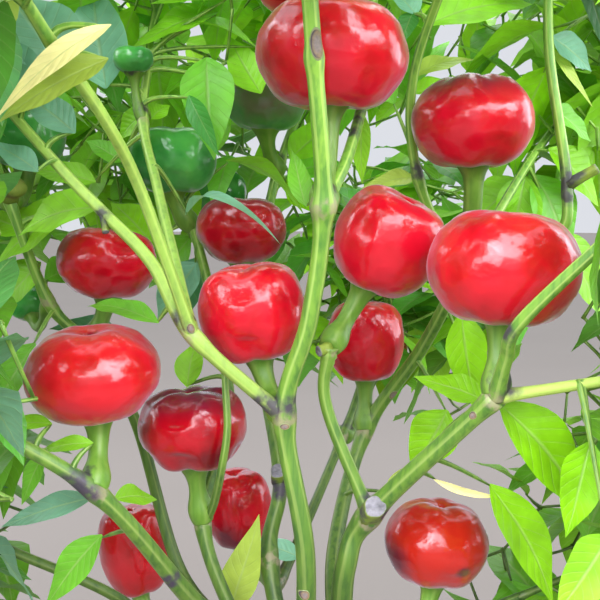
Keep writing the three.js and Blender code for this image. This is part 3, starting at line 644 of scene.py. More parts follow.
# How a berry looks, and where one differs from that: its seams (how many, the turn of the first in
# degrees, how deep they are), how dark its crown still is, other dark places on it (their way from its
# middle, their reach and strength), how wide the brown pit at its free end is, how domed that end is, how
# the berry is tipped, how much lower than its solid it is, and how far it leans to orange
PLAIN_BERRY = dict(seams=(3, -70, 0.04), dusky=0, dark_places=(), pit=0.09, domed=0, tipped=(0, 0, 0),
                   squat=1, warm=0.1)
BERRY_LOOKS = {
    "fruit_front_top": dict(seams=(3, -60, 0.022), domed=0.1),
    "fruit_right_top": dict(seams=(5, -75, 0.036), dusky=0.9, domed=0.2),
    "fruit_right": dict(seams=(3, -35, 0.025), domed=0.12, warm=0.25),
    "fruit_inner": dict(seams=(4, -70, 0.02), squat=0.93),
    "fruit_heart": dict(seams=(4, -100, 0.05)),
    "fruit_behind": dict(seams=(3, -50, 0.025)),
    "fruit_left": dict(
        seams=(4, -85, 0.024), pit=0.17, domed=0.1, tipped=(0, -0.12, 0), squat=0.95, warm=0.3),
    "fruit_mid": dict(
        seams=(5, -95, 0.062), dusky=0.8, dark_places=(((-0.2, -0.3, 0.7), 0.7, 0.6),), squat=0.95),
    "fruit_side": dict(seams=(4, -60, 0.06), dusky=0.3, dark_places=(((-0.7, -0.5, 0.1), 0.5, 0.5),)),
    "fruit_centre": dict(seams=(4, -80, 0.05), dusky=0.6),
    "fruit_low_right": dict(
        seams=(6, -70, 0.03), pit=0.04, domed=0.1, squat=0.92, warm=0.9,
        dark_places=(((-0.75, -0.3, -0.3), 0.55, 0.9), ((0.42, -0.85, -0.3), 0.16, 1.0))),
    "fruit_low_left": dict(seams=(2, -60, 0.055), warm=0.35),
    "fruit_low_rear": dict(seams=(3, -80, 0.06), dusky=0.3, dark_places=(((-0.3, -0.6, -0.5), 0.6, 1.0),)),
    "fruit_green": dict(seams=(3, -70, 0.05)),
    "fruit_green_high": dict(seams=(4, -60, 0.05), dark_places=(((0, -0.4, 0.3), 1.6, 1.0),)),
    "fruit_green_small": dict(squat=0.8),
    "fruit_side_high": dict(dusky=1.0),
    "fruit_crown": dict(warm=0.4),
}
OUTLINE_POINTS, SPIN_STEPS, SEAM_WIDTH, DENT_SIZE, DENT_DEPTH = 46, 72, 0.34, 0.014, 0.0018
profile = spline(BERRY_OUTLINE, np.linspace(0, len(BERRY_OUTLINE) - 1, OUTLINE_POINTS))
profile[0, 0] = profile[-1, 0] = 0
mesh = bpy.data.meshes.new("berry_outline")
mesh.from_pydata([(x, 0, z) for x, z in profile], [(i, i + 1) for i in range(len(profile) - 1)], [])
pattern = bpy.data.objects.new("berry_outline", mesh)
bpy.context.scene.collection.objects.link(pattern)
bpy.ops.object.select_all(action="DESELECT")
bpy.context.view_layer.objects.active = pattern
pattern.select_set(True)
bpy.ops.object.mode_set(mode="EDIT")
bpy.ops.mesh.select_all(action="SELECT")
bpy.ops.mesh.spin(steps=SPIN_STEPS, angle=2 * math.pi, center=(0, 0, 0), axis=(0, 0, 1))
bpy.ops.mesh.select_all(action="SELECT")
bpy.ops.mesh.remove_doubles(threshold=1e-5)
bpy.ops.mesh.normals_make_consistent(inside=False)
bpy.ops.object.mode_set(mode="OBJECT")


def berry(name, fork, middle, width, height, lean, ripeness):
    """A copy of the round berry, drawn in along its seams and set on its stalk"""
    look = PLAIN_BERRY | BERRY_LOOKS.get(name, {})
    up = unit(stalk_line(fork, middle, width, height, lean)[0] + look["tipped"])
    made = pattern.data.copy()
    co = np.empty(len(made.vertices) * 3)
    made.vertices.foreach_get("co", co)
    co = co.reshape(-1, 3)
    count, first, deep = look["seams"]
    turn = np.arctan2(co[:, 1], co[:, 0])
    reach = np.hypot(co[:, 0], co[:, 1])
    drawn = np.zeros(len(co))
    for k in range(count):
        away = (turn - math.radians(first + 360 * k / count + 9 * math.sin(2.3 * k + first))) / 2
        drawn += fade(2 * np.sin(away), SEAM_WIDTH) * (0.75 + 0.25 * math.cos(k * 1.9 + first))
    shoulder = 0.35 + 0.65 * np.clip(np.abs(co[:, 2]) / 0.4, 0, 1) ** 1.5
    co[:, :2] *= (1 - deep * drawn * shoulder)[:, None]
    co[:, 2] -= 0.9 * deep * drawn * np.clip(reach * 1.6, 0, 1) * np.sign(co[:, 2]) * (np.abs(co[:, 2]) > 0.2)
    co[:, :2] *= (1 - look["domed"] * np.clip(co[:, 2] * 2.2, 0, 1) ** 2)[:, None]
    co[:, 2] *= look["squat"]
    from_pit = np.linalg.norm(co * (1, 1, 2) - (0, 0, 0.83 * look["squat"]), axis=1)
    dusk = np.maximum(np.clip((co[:, 2] - 0.1) / 0.4, 0, 1) * look["dusky"], fade(from_pit, look["pit"]))
    for aim, dark_reach, strength in look["dark_places"]:
        away = np.linalg.norm(co * (1, 1, 2) - unit(np.array(aim)), axis=1)
        dusk = np.maximum(dusk, strength * fade(away, dark_reach))
    co *= (width / 2, width / 2, height)
    tilt = np.array(Vector((0, 0, 1)).rotation_difference(Vector(up)).to_matrix())
    co = (co @ tilt.T + np.array(middle)) * 0.001
    made.vertices.foreach_set("co", co.ravel())
    for layer, held in (("dusk", dusk), ("warm", np.full(len(co), look["warm"]))):
        made.attributes.new(layer, "FLOAT", "POINT").data.foreach_set("value", held.astype(np.float32))
    made.shade_smooth()
    one = bpy.data.objects.new(name + "_berry", made)
    bpy.context.scene.collection.objects.link(one)
    return one


def berry_skin(name, body, light, dark, crown, sunny):
    """Ripe skin: glossy wax with a pale bloom over flesh that the light enters a little, mottled"""
    made, tree = new_material(name)
    where = add_node(tree, "TexCoord", out="Object")
    mottle = add_node(tree, "TexNoise", {"Vector": where, "Scale": 75.0, "Detail": 3.0})
    fleck = add_node(tree, "TexNoise", {"Vector": where, "Scale": 900.0, "Detail": 2.0})
    lit = add_node(tree, "MapRange", {"Value": mottle, "From Min": 0.42, "From Max": 0.7})
    deep = add_node(tree, "MapRange", {"Value": mottle, "From Min": 0.45, "From Max": 0.3, "To Max": 0.8})
    tone = add_node(tree, "MixRGB", {"Fac": lit, "Color1": body, "Color2": light})
    tone = add_node(tree, "MixRGB", {"Fac": deep, "Color1": tone, "Color2": dark})
    warm = add_node(tree, "Attribute", out="Fac", attribute_name="warm")
    tone = add_node(tree, "MixRGB", {"Fac": warm, "Color1": tone, "Color2": sunny})
    dusk = add_node(tree, "Attribute", out="Fac", attribute_name="dusk")
    tone = add_patches(tree, tone, dusk, mottle, 0.12, 0.4, 0.85, crown)
    pit = add_node(tree, "Bump", {"Height": fleck, "Strength": 0.12, "Distance": 0.0003})
    dent = add_node(tree, "Bump", {"Height": mottle, "Strength": 0.25, "Distance": 0.004, "Normal": pit})
    surface = add_node(tree, "BsdfPrincipled", {
        "Base Color": tone, "Roughness": 0.18, "Specular IOR Level": 0.5, "Normal": dent,
        "Sheen Weight": 0.25, "Sheen Roughness": 0.34, "Sheen Tint": (0.9, 0.82, 1.0, 1.0),
        "Subsurface Weight": 0.06, "Subsurface Radius": (1.0, 0.1, 0.05), "Subsurface Scale": 0.002})
    add_node(tree, "OutputMaterial", {"Surface": surface})
    return made


# The skins by ripeness: the body's colour, then where it is light, dark, still dusky, and sunny
BERRY_SKINS = {
    "red": ("ripe_red_berry_skin", "#A50217", "#B70C23", "#84010D", "#430A1E", "#93190A"),
    "dark_red": ("dark_red_berry_skin", "#84030E", "#A20719", "#4F0109", "#4A1A2C", "#830909"),
    "green": ("green_berry_skin", "#338338", "#54A548", "#1F632B", "#5A4B40", "#4F9632"),
}
for ripeness, (skin_name, *tones) in BERRY_SKINS.items():
    berry_material = berry_skin(skin_name, *tones)
    names = [name for name, row in FRUITS.items() if row[-1] == ripeness]
    made = [berry(name, *FRUITS[name]) for name in names]
    bpy.ops.object.select_all(action="DESELECT")
    for one in made:
        one.select_set(True)
    bpy.context.view_layer.objects.active = made[0]
    bpy.ops.object.join()
    berries = bpy.context.object
    berries.name = "berries_" + ripeness
    berries.data.materials.clear()
    berries.data.materials.append(berry_material)
    bpy.ops.object.modifier_add(type="DISPLACE")
    dent = berries.modifiers[0]
    dent.texture = bpy.data.textures.new("soft_dents_" + ripeness, "CLOUDS")
    dent.texture.noise_scale = DENT_SIZE
    dent.strength, dent.mid_level = DENT_DEPTH, 0.55
    bpy.ops.object.modifier_apply(modifier=dent.name)
    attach(berries, "root")
    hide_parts(*names)
bpy.data.objects.remove(pattern)


# Foliage: each bough ends in a mass of leafy shoots, grown by the same seeded rule as its solid and then
# carried on to finer twigs within the same ball. A shoot forks in two while there is room, and bears
# leaves where it forks and at its tip. Each leaf is tried by some of its points, and left out if they lie
# too near a limb, a berry or another leaf's points. Blades may still cross a little between them.
UP = np.array((0, 0, 1.0))
# Each mass: the limb that bears it, the middle and radius of its ball, its seed, and its leaves' greens.
# Bright greens are a painted glow of light from behind, blue ones painted sky reflection on leaves in shade.
MASSES = {
    "foliage_front": ("stem_front", (-4, -95, 458), 80, 1, "leaf grass deep"),
    "foliage_top": ("bough_top", (22, 32, 468), 80, 7, "grass leaf bright"),
    "foliage_right_top": ("bough_edge", (112, 24, 462), 80, 47, "blue grass leaf"),
    "foliage_middle_top": ("bough_loop", (66, -50, 446), 76, 2, "leaf bright grass"),
    "foliage_left_top": ("bough_left", (-140, -12, 404), 80, 9, "blue blue leaf"),
    "foliage_near_left": ("bough_near", (-78, -140, 408), 76, 11, "blue leaf olive"),
    "foliage_back_left_top": ("bough_back_left", (-72, 72, 436), 78, 59, "grass bright leaf"),
    "foliage_right": ("bough_right", (124, -104, 356), 78, 59, "grass leaf bright"),
    "foliage_right_low": ("bough_right_low", (144, -48, 276), 78, 31, "grass bright leaf"),
    "foliage_low_right": ("stem_low_right", (128, 24, 196), 78, 14, "bright grass grass"),
    "foliage_low_left": ("stem_low_left", (-150, 12, 226), 78, 11, "leaf grass blue"),
    "foliage_left": ("stem_left", (-144, -76, 298), 78, 31, "leaf grass blue"),
    "foliage_side": ("stem_side", (-150, 64, 366), 78, 27, "grass bright leaf"),
    "foliage_back_top": ("stem_centre", (8, 140, 428), 80, 59, "bright grass lime"),
    "foliage_back_right": ("bough_far", (132, 118, 396), 78, 31, "bright lime grass"),
    "foliage_back_left": ("stem_mid", (-80, 150, 376), 78, 14, "grass bright leaf"),
    "foliage_rear": ("stem_rear", (46, 146, 300), 80, 59, "bright grass leaf"),
}
# The open heart, which widens from the front, then the shoots, leaves and distances of the source's rule,
# then the finer twigs and those that fill what is still empty
HEART_FRONT, HEART_BACK, HEART_LEVEL, HEART_SPREAD, HEART_RISE, HEART_FALL = -358, 46, 338, 0.27, 0.19, 0.4
SHOOT_LENGTH, SHOOT_SHORTER, SHOOT_RADIUS, SHOOT_THINNER, SHOOT_LEVELS = 27, 0.88, 1.7, 0.78, 3
FORK_ANGLE, INWARD, LEAF_ANGLE, LEAF_DROOP, TRY_TURN = 30, 0.18, 58, 0.12, 22
LEAF_LENGTH, LEAF_WIDTH, PETIOLE_LENGTH = 64, 36, 16
SHARE_GAP, LIMB_CLEAR, SHOOT_CLEAR, LEAF_APART, BERRY_CLEAR, GAP = 1.8, 6, 4, 9, 3, 0.3
LIMB_NEAR, SHOOT_NEAR, SHOOT_TRIES = 20, 100, 8
# The smallest leaf and how much larger it may be: on the source's shoots, on finer ones and between them
LEAF_SIZES, FINE_SIZES, EXTRA_SIZES = (0.75, 0.4), (0.45, 0.5), (0.4, 0.4)
FINE_LEVELS, FINE_APART, FINE_CLEAR, FINE_ROOM, FINE_TRIES = 5, 4.2, 2.2, 2.0, 7
FINE_ANGLE, SIDE_ANGLE = 36, 52
FILL_TRIES, FILL_ROOM, FILL_LENGTH, FILL_RADIUS = 1300, 11, 26, 0.7
# How many fills are tried in the masses that the photo shows sky between
OPEN_MASSES = {
    "foliage_front": 60, "foliage_near_left": 200, "foliage_middle_top": 120, "foliage_right": 250,
    "foliage_low_left": 300, "foliage_low_right": 300,
}


def dice(seed):
    """A repeatable run of numbers between 0 and 1"""
    while True:
        seed = seed * 16807 % 2147483647
        yield seed / 2147483647


line_a, line_b, line_thick = [], [], []
all_lines = [limb_line(*row)[::3] for row in LIMBS.values()]
all_lines += [stalk_line(*row[:-1])[4:] for row in FRUITS.values()]
for stations, radii in all_lines:
    line_a += list(stations[:-1])
    line_b += list(stations[1:])
    line_thick += list(np.maximum(radii[:-1], radii[1:]))
line_a, line_b, line_thick = np.array(line_a), np.array(line_b), np.array(line_thick)
berry_middles = np.array([row[1] for row in FRUITS.values()], float)
berry_radii = np.array([row[2] / 2 for row in FRUITS.values()])
ball_middles = np.array([row[1] for row in MASSES.values()], float)
ball_radii = np.array([row[2] for row in MASSES.values()], float)


def far_from(points, a, b):
    """Distances of points (rows) from the stretches between a and b (columns)"""
    span = b - a
    t = ((points[:, None] - a) * span).sum(2) / (span * span).sum(1)
    return np.linalg.norm(points[:, None] - (a + np.clip(t, 0, 1)[:, :, None] * span), axis=2)


near_lines = []
for middle, radius in zip(ball_middles, ball_radii):
    near = far_from(middle[None], line_a, line_b)[0] < radius + LIMB_NEAR
    near_lines.append((line_a[near], line_b[near], line_thick[near]))


def is_free(points, own, clear):
    """Whether all the points lie in the mass's own share of its ball, clear of all else"""
    beyond = np.linalg.norm(points[:, None] - ball_middles, axis=2) - ball_radii
    mine = beyond[:, own].copy()
    if mine.max() > 0:
        return False
    beyond[:, own] = np.inf
    if (beyond.min(1) < mine + SHARE_GAP).any():
        return False
    deep, high = points[:, 1] - HEART_FRONT, points[:, 2] - HEART_LEVEL
    inside = (points[:, 1] < HEART_BACK) & (np.abs(points[:, 0]) < HEART_SPREAD * deep)
    if (inside & (high < HEART_RISE * deep) & (high > -HEART_FALL * deep)).any():
        return False
    if (np.linalg.norm(points[:, None] - berry_middles, axis=2) < berry_radii + BERRY_CLEAR).any():
        return False
    a, b, thick = near_lines[own]
    return not (far_from(points, a, b) < thick + clear).any()


def is_apart(points, others, apart):
    """Whether a leaf's points keep their distance from the points of the leaves that are there"""
    if not len(others):
        return True
    low, high = points.min(0) - apart, points.max(0) + apart
    near = others[((others > low) & (others < high)).all(1)]
    return not (np.linalg.norm(points[:, None] - near[None], axis=2) < apart).any()


def turned(way, turn, angle):
    """A direction turned away from way by an angle, towards the given turn about it, in degrees"""
    side = unit(np.cross(way, UP if abs(way[2]) < 0.9 else np.array((1.0, 0, 0))))
    across = np.cross(way, side)
    turn, angle = math.radians(turn), math.radians(angle)
    out = side * math.cos(turn) + across * math.sin(turn)
    return way * math.cos(angle) + out * math.sin(angle)


def grow_shoots(own, start, way, level, turn, random, levels, clear):
    """The shoots of a mass: each forks in two while there is room"""
    length = SHOOT_LENGTH * SHOOT_SHORTER ** level * (0.9 + 0.2 * next(random))
    end = start + way * length
    shoot = {"start": start, "end": end, "way": way, "turn": turn, "level": level,
             "radius": SHOOT_RADIUS * SHOOT_THINNER ** level}
    if level > 0 and not is_free(np.array([start + way * length * t for t in (0.5, 1)]), own, clear):
        return []
    if level == levels - 1:
        return [shoot]
    inward = unit(ball_middles[own] - end)
    shoots = [shoot]
    for hand in (0, 180):
        aside = turn + hand + 16 * (next(random) - 0.5)
        ahead = turned(way, aside, FORK_ANGLE * (0.8 + 0.4 * next(random)))
        ahead = unit(ahead + inward * INWARD)
        aside = turn + 80 + 30 * next(random)
        shoots += grow_shoots(own, end, ahead, level + 1, aside, random, levels, clear)
    return shoots


def leaf_points(root, way, size):
    """The points by which a leaf is tried against what stands near"""
    up = unit(UP - UP.dot(way) * way)
    right = np.cross(way, up)
    length, width, stalk = LEAF_LENGTH * size, LEAF_WIDTH * size, PETIOLE_LENGTH * size

    def at(far, side, high):
        return root + way * far + right * side + up * high

    neck = [at(stalk, 0.88, 0.4), at(stalk, -0.88, 0.4), at(stalk, 0, -0.88)]
    r1 = at(stalk + 0.28 * length, 0.48 * width, 0.06 * length)
    r2 = at(stalk + 0.62 * length, 0.38 * width, 0.01 * length)
    tip = at(stalk + length, 0, -0.16 * length)
    l2 = at(stalk + 0.62 * length, -0.38 * width, 0.01 * length)
    l1 = at(stalk + 0.28 * length, -0.48 * width, 0.06 * length)
    top = at(stalk + 0.44 * length, 0, 0.02 * length + max(0.013 * length, 0.9) / 2)
    return np.array([top, tip, r1, r2, l1, l2, (r1 + r2) / 2, (l1 + l2) / 2, (r2 + tip) / 2, (l2 + tip) / 2,
                     (top + tip) / 2, (top + neck[2]) / 2, (neck[0] + r1) / 2, (neck[1] + l1) / 2])


def grow_leaves(own, shoot, shoots, taken, random, count, tries, sizes, clear, apart):
    """The leaves at the end of a shoot: each turns about it until it finds room, or is left out"""
    others = [other for other in shoots if other is not shoot]
    near_a = np.array([other["start"] for other in others]).reshape(-1, 3)
    near_b = np.array([other["end"] for other in others]).reshape(-1, 3)
    beside = far_from(shoot["end"][None], near_a, near_b)[0] < SHOOT_NEAR
    near_a, near_b = near_a[beside], near_b[beside]
    leaves = []
    for k in range(count):
        size = sizes[0] + sizes[1] * next(random)
        angle = LEAF_ANGLE + 14 * (next(random) - 0.5)
        for attempt in range(tries):
            way = turned(shoot["way"], shoot["turn"] + 90 + 360 / count * k + TRY_TURN * attempt, angle)
            way = unit(way - UP * LEAF_DROOP)
            points = leaf_points(shoot["end"], way, size)
            if not is_free(points, own, clear) or not is_apart(points, taken["points"], apart):
                continue
            if (far_from(points, near_a, near_b) < min(clear, SHOOT_CLEAR)).any():
                continue
            taken["points"] = np.vstack([taken["points"], points])
            leaves.append({"root": shoot["end"], "way": way, "size": size, "shoot": shoot})
            break
    return leaves


# A leaf blade: pointed oval with a fold along the midrib, wavy margins and a drooping tip. Its corners lie
# in rows from the neck to the tip, five to a row.
BLADE_ROWS = np.array([0, 0.09, 0.2, 0.33, 0.47, 0.61, 0.74, 0.87, 1.0])
BLADE_COLUMNS = np.array([-1, -0.5, 0, 0.5, 1])
HEART_ROWS = np.linspace(0, 1, 15) ** 0.95
WIDE_AT = ((0, 0.09, 0.2, 0.33, 0.47, 0.61, 0.74, 0.87, 0.95, 1),
           (0.05, 0.5, 0.86, 1, 0.92, 0.73, 0.49, 0.22, 0.08, 0.0))
TIP_DROP, TIP_SHORT, BLADE_ARCH, FOLD, FLATTER = 0.16, 0.06, 0.09, 0.34, 0.3
WAVE_HEIGHT, WAVE_PITCH, SWAY, SWAY_PITCH = 0.05, 11, 0.04, 4


def leaf_part(root, way, up, stalk, length, width, tint, bend, wave, phase, rows=BLADE_ROWS):
    """One leaf blade, in mm. bend drops its tip, wave and phase say how its margins wave."""
    up = unit(up - up.dot(way) * way)
    right = np.cross(way, up)
    t = rows[:, None]
    s = BLADE_COLUMNS[None]
    half = np.interp(rows, *WIDE_AT)[:, None] * width / 2
    far = stalk + t * length * (1 - TIP_SHORT * bend * t ** 2)
    dropped = TIP_DROP * bend * np.clip(t - 0.25, 0, 1) ** 1.6 / 0.63
    high = length * (BLADE_ARCH * t * (1 - t) ** 1.5 - dropped) + np.abs(s) * half * (FOLD - FLATTER * t)
    wavy = np.sin(t * WAVE_PITCH + phase + (s > 0) * 2.1) * s ** 2 * np.sin(np.pi * t)
    high = high + wave * width * WAVE_HEIGHT * wavy
    side = s * half * (1 - 0.06 * wave) + SWAY * width * wave * np.sin(t * SWAY_PITCH + phase)
    far, high, side = np.broadcast_arrays(far, high, side)
    corners = root + far[..., None] * way + side[..., None] * right + high[..., None] * up
    n = len(BLADE_COLUMNS)
    corners = np.vstack([corners[:-1].reshape(-1, 3), corners[-1, n // 2][None]])
    count = len(rows) - 2
    a = (np.arange(count)[:, None] * n + np.arange(n - 1)).ravel()
    tip = (len(rows) - 1) * n
    last = count * n + np.arange(n - 1)
    faces = [np.stack([a, a + 1, a + n + 1, a + n], 1), np.stack([last, last + 1, np.full(n - 1, tip)], 1)]
    across = np.broadcast_to(s * 0.5 + 0.5, (len(rows) - 1, n)).reshape(-1)
    along = np.broadcast_to(t[:-1], (len(rows) - 1, n)).reshape(-1)
    blade = np.vstack([np.stack([across, along], 1), [[0.5, 1.0]]])
    values = {"blade": blade, "tint": np.tile(tint, (len(corners), 1))}
    return {"corners": corners, "faces": faces, "values": values}


def twig_part(stations, radii, sides=6):
    """A thin round tube, striped light and dark but with no knots or stains of its own"""
    rib = np.tile([1.0, 0.3] * (sides // 2), (len(stations), 1))
    plain = np.zeros_like(rib)
    values = {"rib": rib, "knot": plain, "stain": plain}
    return tube_part(np.asarray(stations, float), all_round(radii, sides), values)


# The greens of the leaves, dealt out spray by spray. Some are painted light: bright is a painted glow of
# light from behind, blue and deepblue are painted sky reflection on leaves in shade, and cream is painted
# sunlight on the lit edge or half of a leaf
GREENS = {
    "bright": linear("#7AB722"), "grass": linear("#61A629"), "leaf": linear("#4B932E"),
    "deep": linear("#2F742A"), "blue": linear("#689D7F"), "deepblue": linear("#387A59"),
    "painted_sunlit_cream": linear("#FFF2A4"), "olive": linear("#96AD43"), "lime": linear("#7BBA11"),
}
# The middle of the crown and the reach of the painted light that lightens the leaves deep in it
CROWN_MIDDLE, PAINTED_LIGHT_REACH = np.array((0, 60, 360.0)), 115


def tint_of(kinds, root, random):
    """A green for one leaf: between two of its spray's greens, with painted light deep inside the crown"""
    a, b = GREENS[kinds[int(next(random) * len(kinds))]], GREENS[kinds[int(next(random) * len(kinds))]]
    share, light = next(random), 0.85 + 0.3 * next(random)
    # Painted light: leaves deep in the crown, where its shade falls, are made lighter
    light *= 0.84 + 1.35 * fade(np.linalg.norm(root - CROWN_MIDDLE), PAINTED_LIGHT_REACH)
    return [(p * share + q * (1 - share)) * light for p, q in zip(a[:3], b[:3])] + [1.0]


# The heart's own leaves: the green, where the stalk leaves its stem, where the blade
# starts, its tip, its width, its roll in degrees and how much it arches
HEART_LEAVES = (
    # The first two are the halves of one folded leaf: the cream one is its sunlit half, painted light
    ("painted_sunlit_cream", (-60, -112, 374), (-45, -114, 378), (-71, -123, 355), 7, -20, 1.2),
    ("olive", (-58, -106, 370), (-47, -109, 371), (-72, -117, 354), 11, 0, 0.8),
    ("blue", (-99, -6, 365), (-84, -4, 378), (-106, 10, 413), 31, 0, 0.6),
    ("blue", (-62, 44, 376), (-77, 41, 379), (-82, 55, 424), 27, 0, 0.6),
    ("blue", (-97, -7, 362), (-92, -13, 368), (-118, -1, 389), 29, 0, 0.6),
    ("blue", (-87, -12, 352), (-77, -10, 359), (-98, -3, 372), 14, 0, 0.8),
    ("bright", (-61, 54, 392), (-18, 63, 398), (-69, 59, 399), 17, -20, 2.6),
    ("bright", (-61, 54, 392), (-33, 58, 411), (-68, 54, 397), 17, 0, 0.9),
    ("bright", (-61, 54, 392), (-27, 50, 416), (-60, 50, 413), 9, 0, 0.8),
    ("bright", (-61, 50, 386), (-16, 59, 379), (-30, 66, 403), 17, 0, 0.5),
    ("grass", (-61, 52, 389), (-37, 48, 392), (-34, 36, 351), 23, 0, 0.6),
    ("deep", (-62, 40, 371), (-43, 36, 376), (-31, 29, 352), 9, 30, 0.6),
    ("bright", (-50, 82, 333), (-32, 76, 352), (2, 78, 329), 17, -20, 2.2),
    ("blue", (-54, 13, 347), (-44, 29, 330), (-7, 16, 319), 12, 10, 6.0),
    ("blue", (-83, -14, 348), (-88, -21, 345), (-104, -15, 356), 10, 0, 0.7),
    ("bright", (-59, 29, 359), (-80, 37, 343), (-107, 37, 347), 13, 0, 0.8),
    ("bright", (-71, -19, 336), (-69, -12, 334), (-101, 1, 323), 20, 0, 1.0),
    ("grass", (-61, 35, 364), (-71, 46, 351), (-86, 46, 359), 12, 0, 0.8),
    ("lime", (-46, 73, 323), (-63, 70, 318), (-84, 84, 334), 20, 0, 0.6),
    ("bright", (-105, 19, 325), (-83, 15, 331), (-120, 33, 310), 24, 0, 0.9),
    ("lime", (-62, 44, 376), (-62, 52, 371), (-75, 56, 359), 14, 0, 0.6),
    ("lime", (-62, 42, 373), (-60, 49, 368), (-53, 55, 374), 10, 0, 0.6),
    ("deepblue", (-82, 33, 276), (-76, 48, 284), (-102, 44, 283), 11, 0, 0.9),
    ("grass", (-40, -44, 302), (-45, -40, 297), (-76, -6, 298), 10, 0, 0.9),
    ("grass", (-94, 27, 292), (-99, 10, 283), (-111, -3, 257), 16, 0, 0.7),
    ("bright", (-82, -56, 258), (-78, -49, 266), (-95, -44, 264), 6, 0, 0.8),
    ("bright", (-71, -54, 251), (-65, -50, 260), (-83, -46, 256), 6, 0, 1.6),
    ("grass", (-79, -56, 257), (-81, -47, 256), (-90, -44, 238), 7, 0, 0.8),
    ("blue", (-61, -49, 240), (-67, -42, 240), (-100, -34, 227), 10, 0, 0.9),
    ("bright", (-58, -46, 236), (-61, -38, 238), (-50, -18, 232), 9, 0, 0.8),
    ("grass", (-52, -39, 225), (-66, -33, 224), (-88, -26, 197), 13, 0, 0.8),
    ("bright", (-29, 35, 263), (-45, 32, 262), (-41, 44, 280), 13, 0, 0.5),
    ("olive", (-32, 8, 177), (-26, 13, 178), (-16, 12, 217), 16, 0, 0.3),
    ("blue", (-12, 21, 195), (0, 21, 196), (-19, 22, 204), 9, 0, 0.6),
    ("lime", (60, 32, 301), (62, 23, 293), (68, 24, 253), 18, 0, 0.6),
    ("lime", (45, -43, 257), (65, -12, 265), (41, -3, 273), 13, 0, 0.7),
    ("lime", (47, 54, 269), (59, 35, 252), (45, 37, 226), 22, 0, 0.7),
    ("lime", (56, -53, 271), (63, -46, 272), (95, -40, 232), 22, 0, 0.9),
    ("lime", (40, -37, 250), (65, -26, 240), (88, -23, 195), 18, 0, 1.0),
    ("painted_sunlit_cream", (36, -34, 245), (45, -28, 242), (70, -25, 235), 3.4, 60, 1.4),
    ("lime", (86, -56, 280), (89, -60, 263), (80, -63, 234), 16, 0, 0.6),
    ("bright", (85, -56, 280), (90, -77, 239), (72, -84, 219), 19, -35, 0.6),
    ("olive", (18, 45, 212), (34, 32, 219), (50, 33, 231), 8, 0, 0.8),
    ("blue", (45, 3, 397), (42, 11, 402), (33, 17, 413), 12, 0, 0.6),
    ("deep", (45, 3, 397), (41, 11, 403), (35, 4, 390), 8, 0, 0.6),
    ("bright", (44, 4, 394), (45, 12, 398), (89, 34, 410), 20, 0, 1.4),
    ("olive", (41, 11, 378), (42, 21, 381), (66, 30, 389), 10, 0, 1.2),
    ("bright", (40, 13, 372), (42, 22, 375), (66, 30, 378), 12, 0, 1.2),
    ("bright", (22, -15, 372), (21, -7, 366), (22, -7, 341), 8, 0, 0.6),
    ("olive", (45, 18, 342), (44, 27, 344), (23, 20, 340), 9, 0, 1.2),
    ("blue", (90, 11, 397), (93, 19, 396), (109, 23, 383), 15, 0, 0.7),
    ("olive", (90, 11, 393), (91, 19, 392), (109, 19, 370), 5, 0, 0.4),
    ("grass", (92, 8, 370), (93, 17, 370), (109, 21, 357), 13, 0, 0.7),
    ("bright", (90, 13, 412), (80, 18, 411), (71, 25, 432), 15, 0, 0.8),
    ("grass", (90, 13, 412), (85, 18, 411), (88, 25, 434), 15, 0, 0.8),
    ("grass", (-99, -6, 365), (-88, 19, 365), (-95, 26, 381), 10, 0, 0.8),
    ("blue", (-43, 67, 314), (-45, 73, 309), (-61, 71, 283), 21, 0, 0.6),
    ("bright", (-47, 76, 327), (-66, 82, 313), (-54, 80, 292), 18, 0, 0.6),
    ("bright", (96, 68, 351), (97, 71, 346), (85, 71, 309), 22, 0, 0.7),
    ("grass", (98, 70, 353), (100, 73, 346), (116, 69, 309), 23, 0, 0.7),
    ("bright", (96, 68, 351), (95, 75, 344), (71, 81, 321), 21, 0, 0.8),
    ("lime", (101, 74, 355), (105, 70, 357), (127, 68, 333), 21, 0, 0.8),
    ("blue", (99, 72, 354), (93, 85, 341), (108, 89, 283), 25, 0, 0.5),
    ("bright", (95, 66, 349), (112, 79, 322), (134, 85, 282), 24, 0, 0.6),
    ("grass", (84, 53, 335), (80, 87, 308), (64, 100, 337), 21, 0, 0.8),
    ("bright", (-8, 103, 354), (-5, 102, 354), (18, 110, 373), 18, 0, 0.8),
    ("grass", (-9, 102, 352), (-6, 106, 348), (24, 112, 350), 20, 0, 0.9),
    ("lime", (-10, 100, 348), (-7, 107, 344), (14, 106, 328), 19, 0, 0.7),
    ("bright", (-9, 102, 352), (-12, 116, 346), (-18, 117, 363), 17, 0, 0.7),
    ("grass", (-48, 79, 329), (-49, 89, 319), (-68, 92, 295), 21, 0, 0.7),
    ("bright", (-56, 94, 339), (-54, 96, 335), (-68, 98, 313), 18, 0, 0.7),
    ("deepblue", (-44, 70, 319), (-46, 82, 310), (-54, 82, 278), 19, 0, 0.6),
    ("lime", (-59, 101, 344), (-58, 101, 344), (-48, 102, 318), 18, 0, 0.6),
    ("bright", (-101, 22, 309), (-100, 27, 312), (-117, 31, 293), 17, 0, 0.7),
    ("grass", (-98, 24, 300), (-102, 41, 303), (-83, 47, 311), 16, 0, 0.8),
    ("bright", (-104, 19, 320), (-105, 31, 323), (-124, 37, 330), 18, 0, 0.7),
    ("grass", (9, -53, 337), (2, -49, 334), (-3, -35, 352), 8, 0, 0.6),
    ("grass", (44, 17, 344), (36, 27, 372), (20, 34, 392), 14, 0, 0.8),
)
# A thin young shoot that starts under the dark berry and climbs past its front to the next one
YOUNG_RINGS = 40
YOUNG_SHOOT = (
    (-35, 2, 217), (-31, -6, 227), (-27, -19, 244), (-25, -20, 258), (-26, -15, 274), (-26, -9, 290),
)
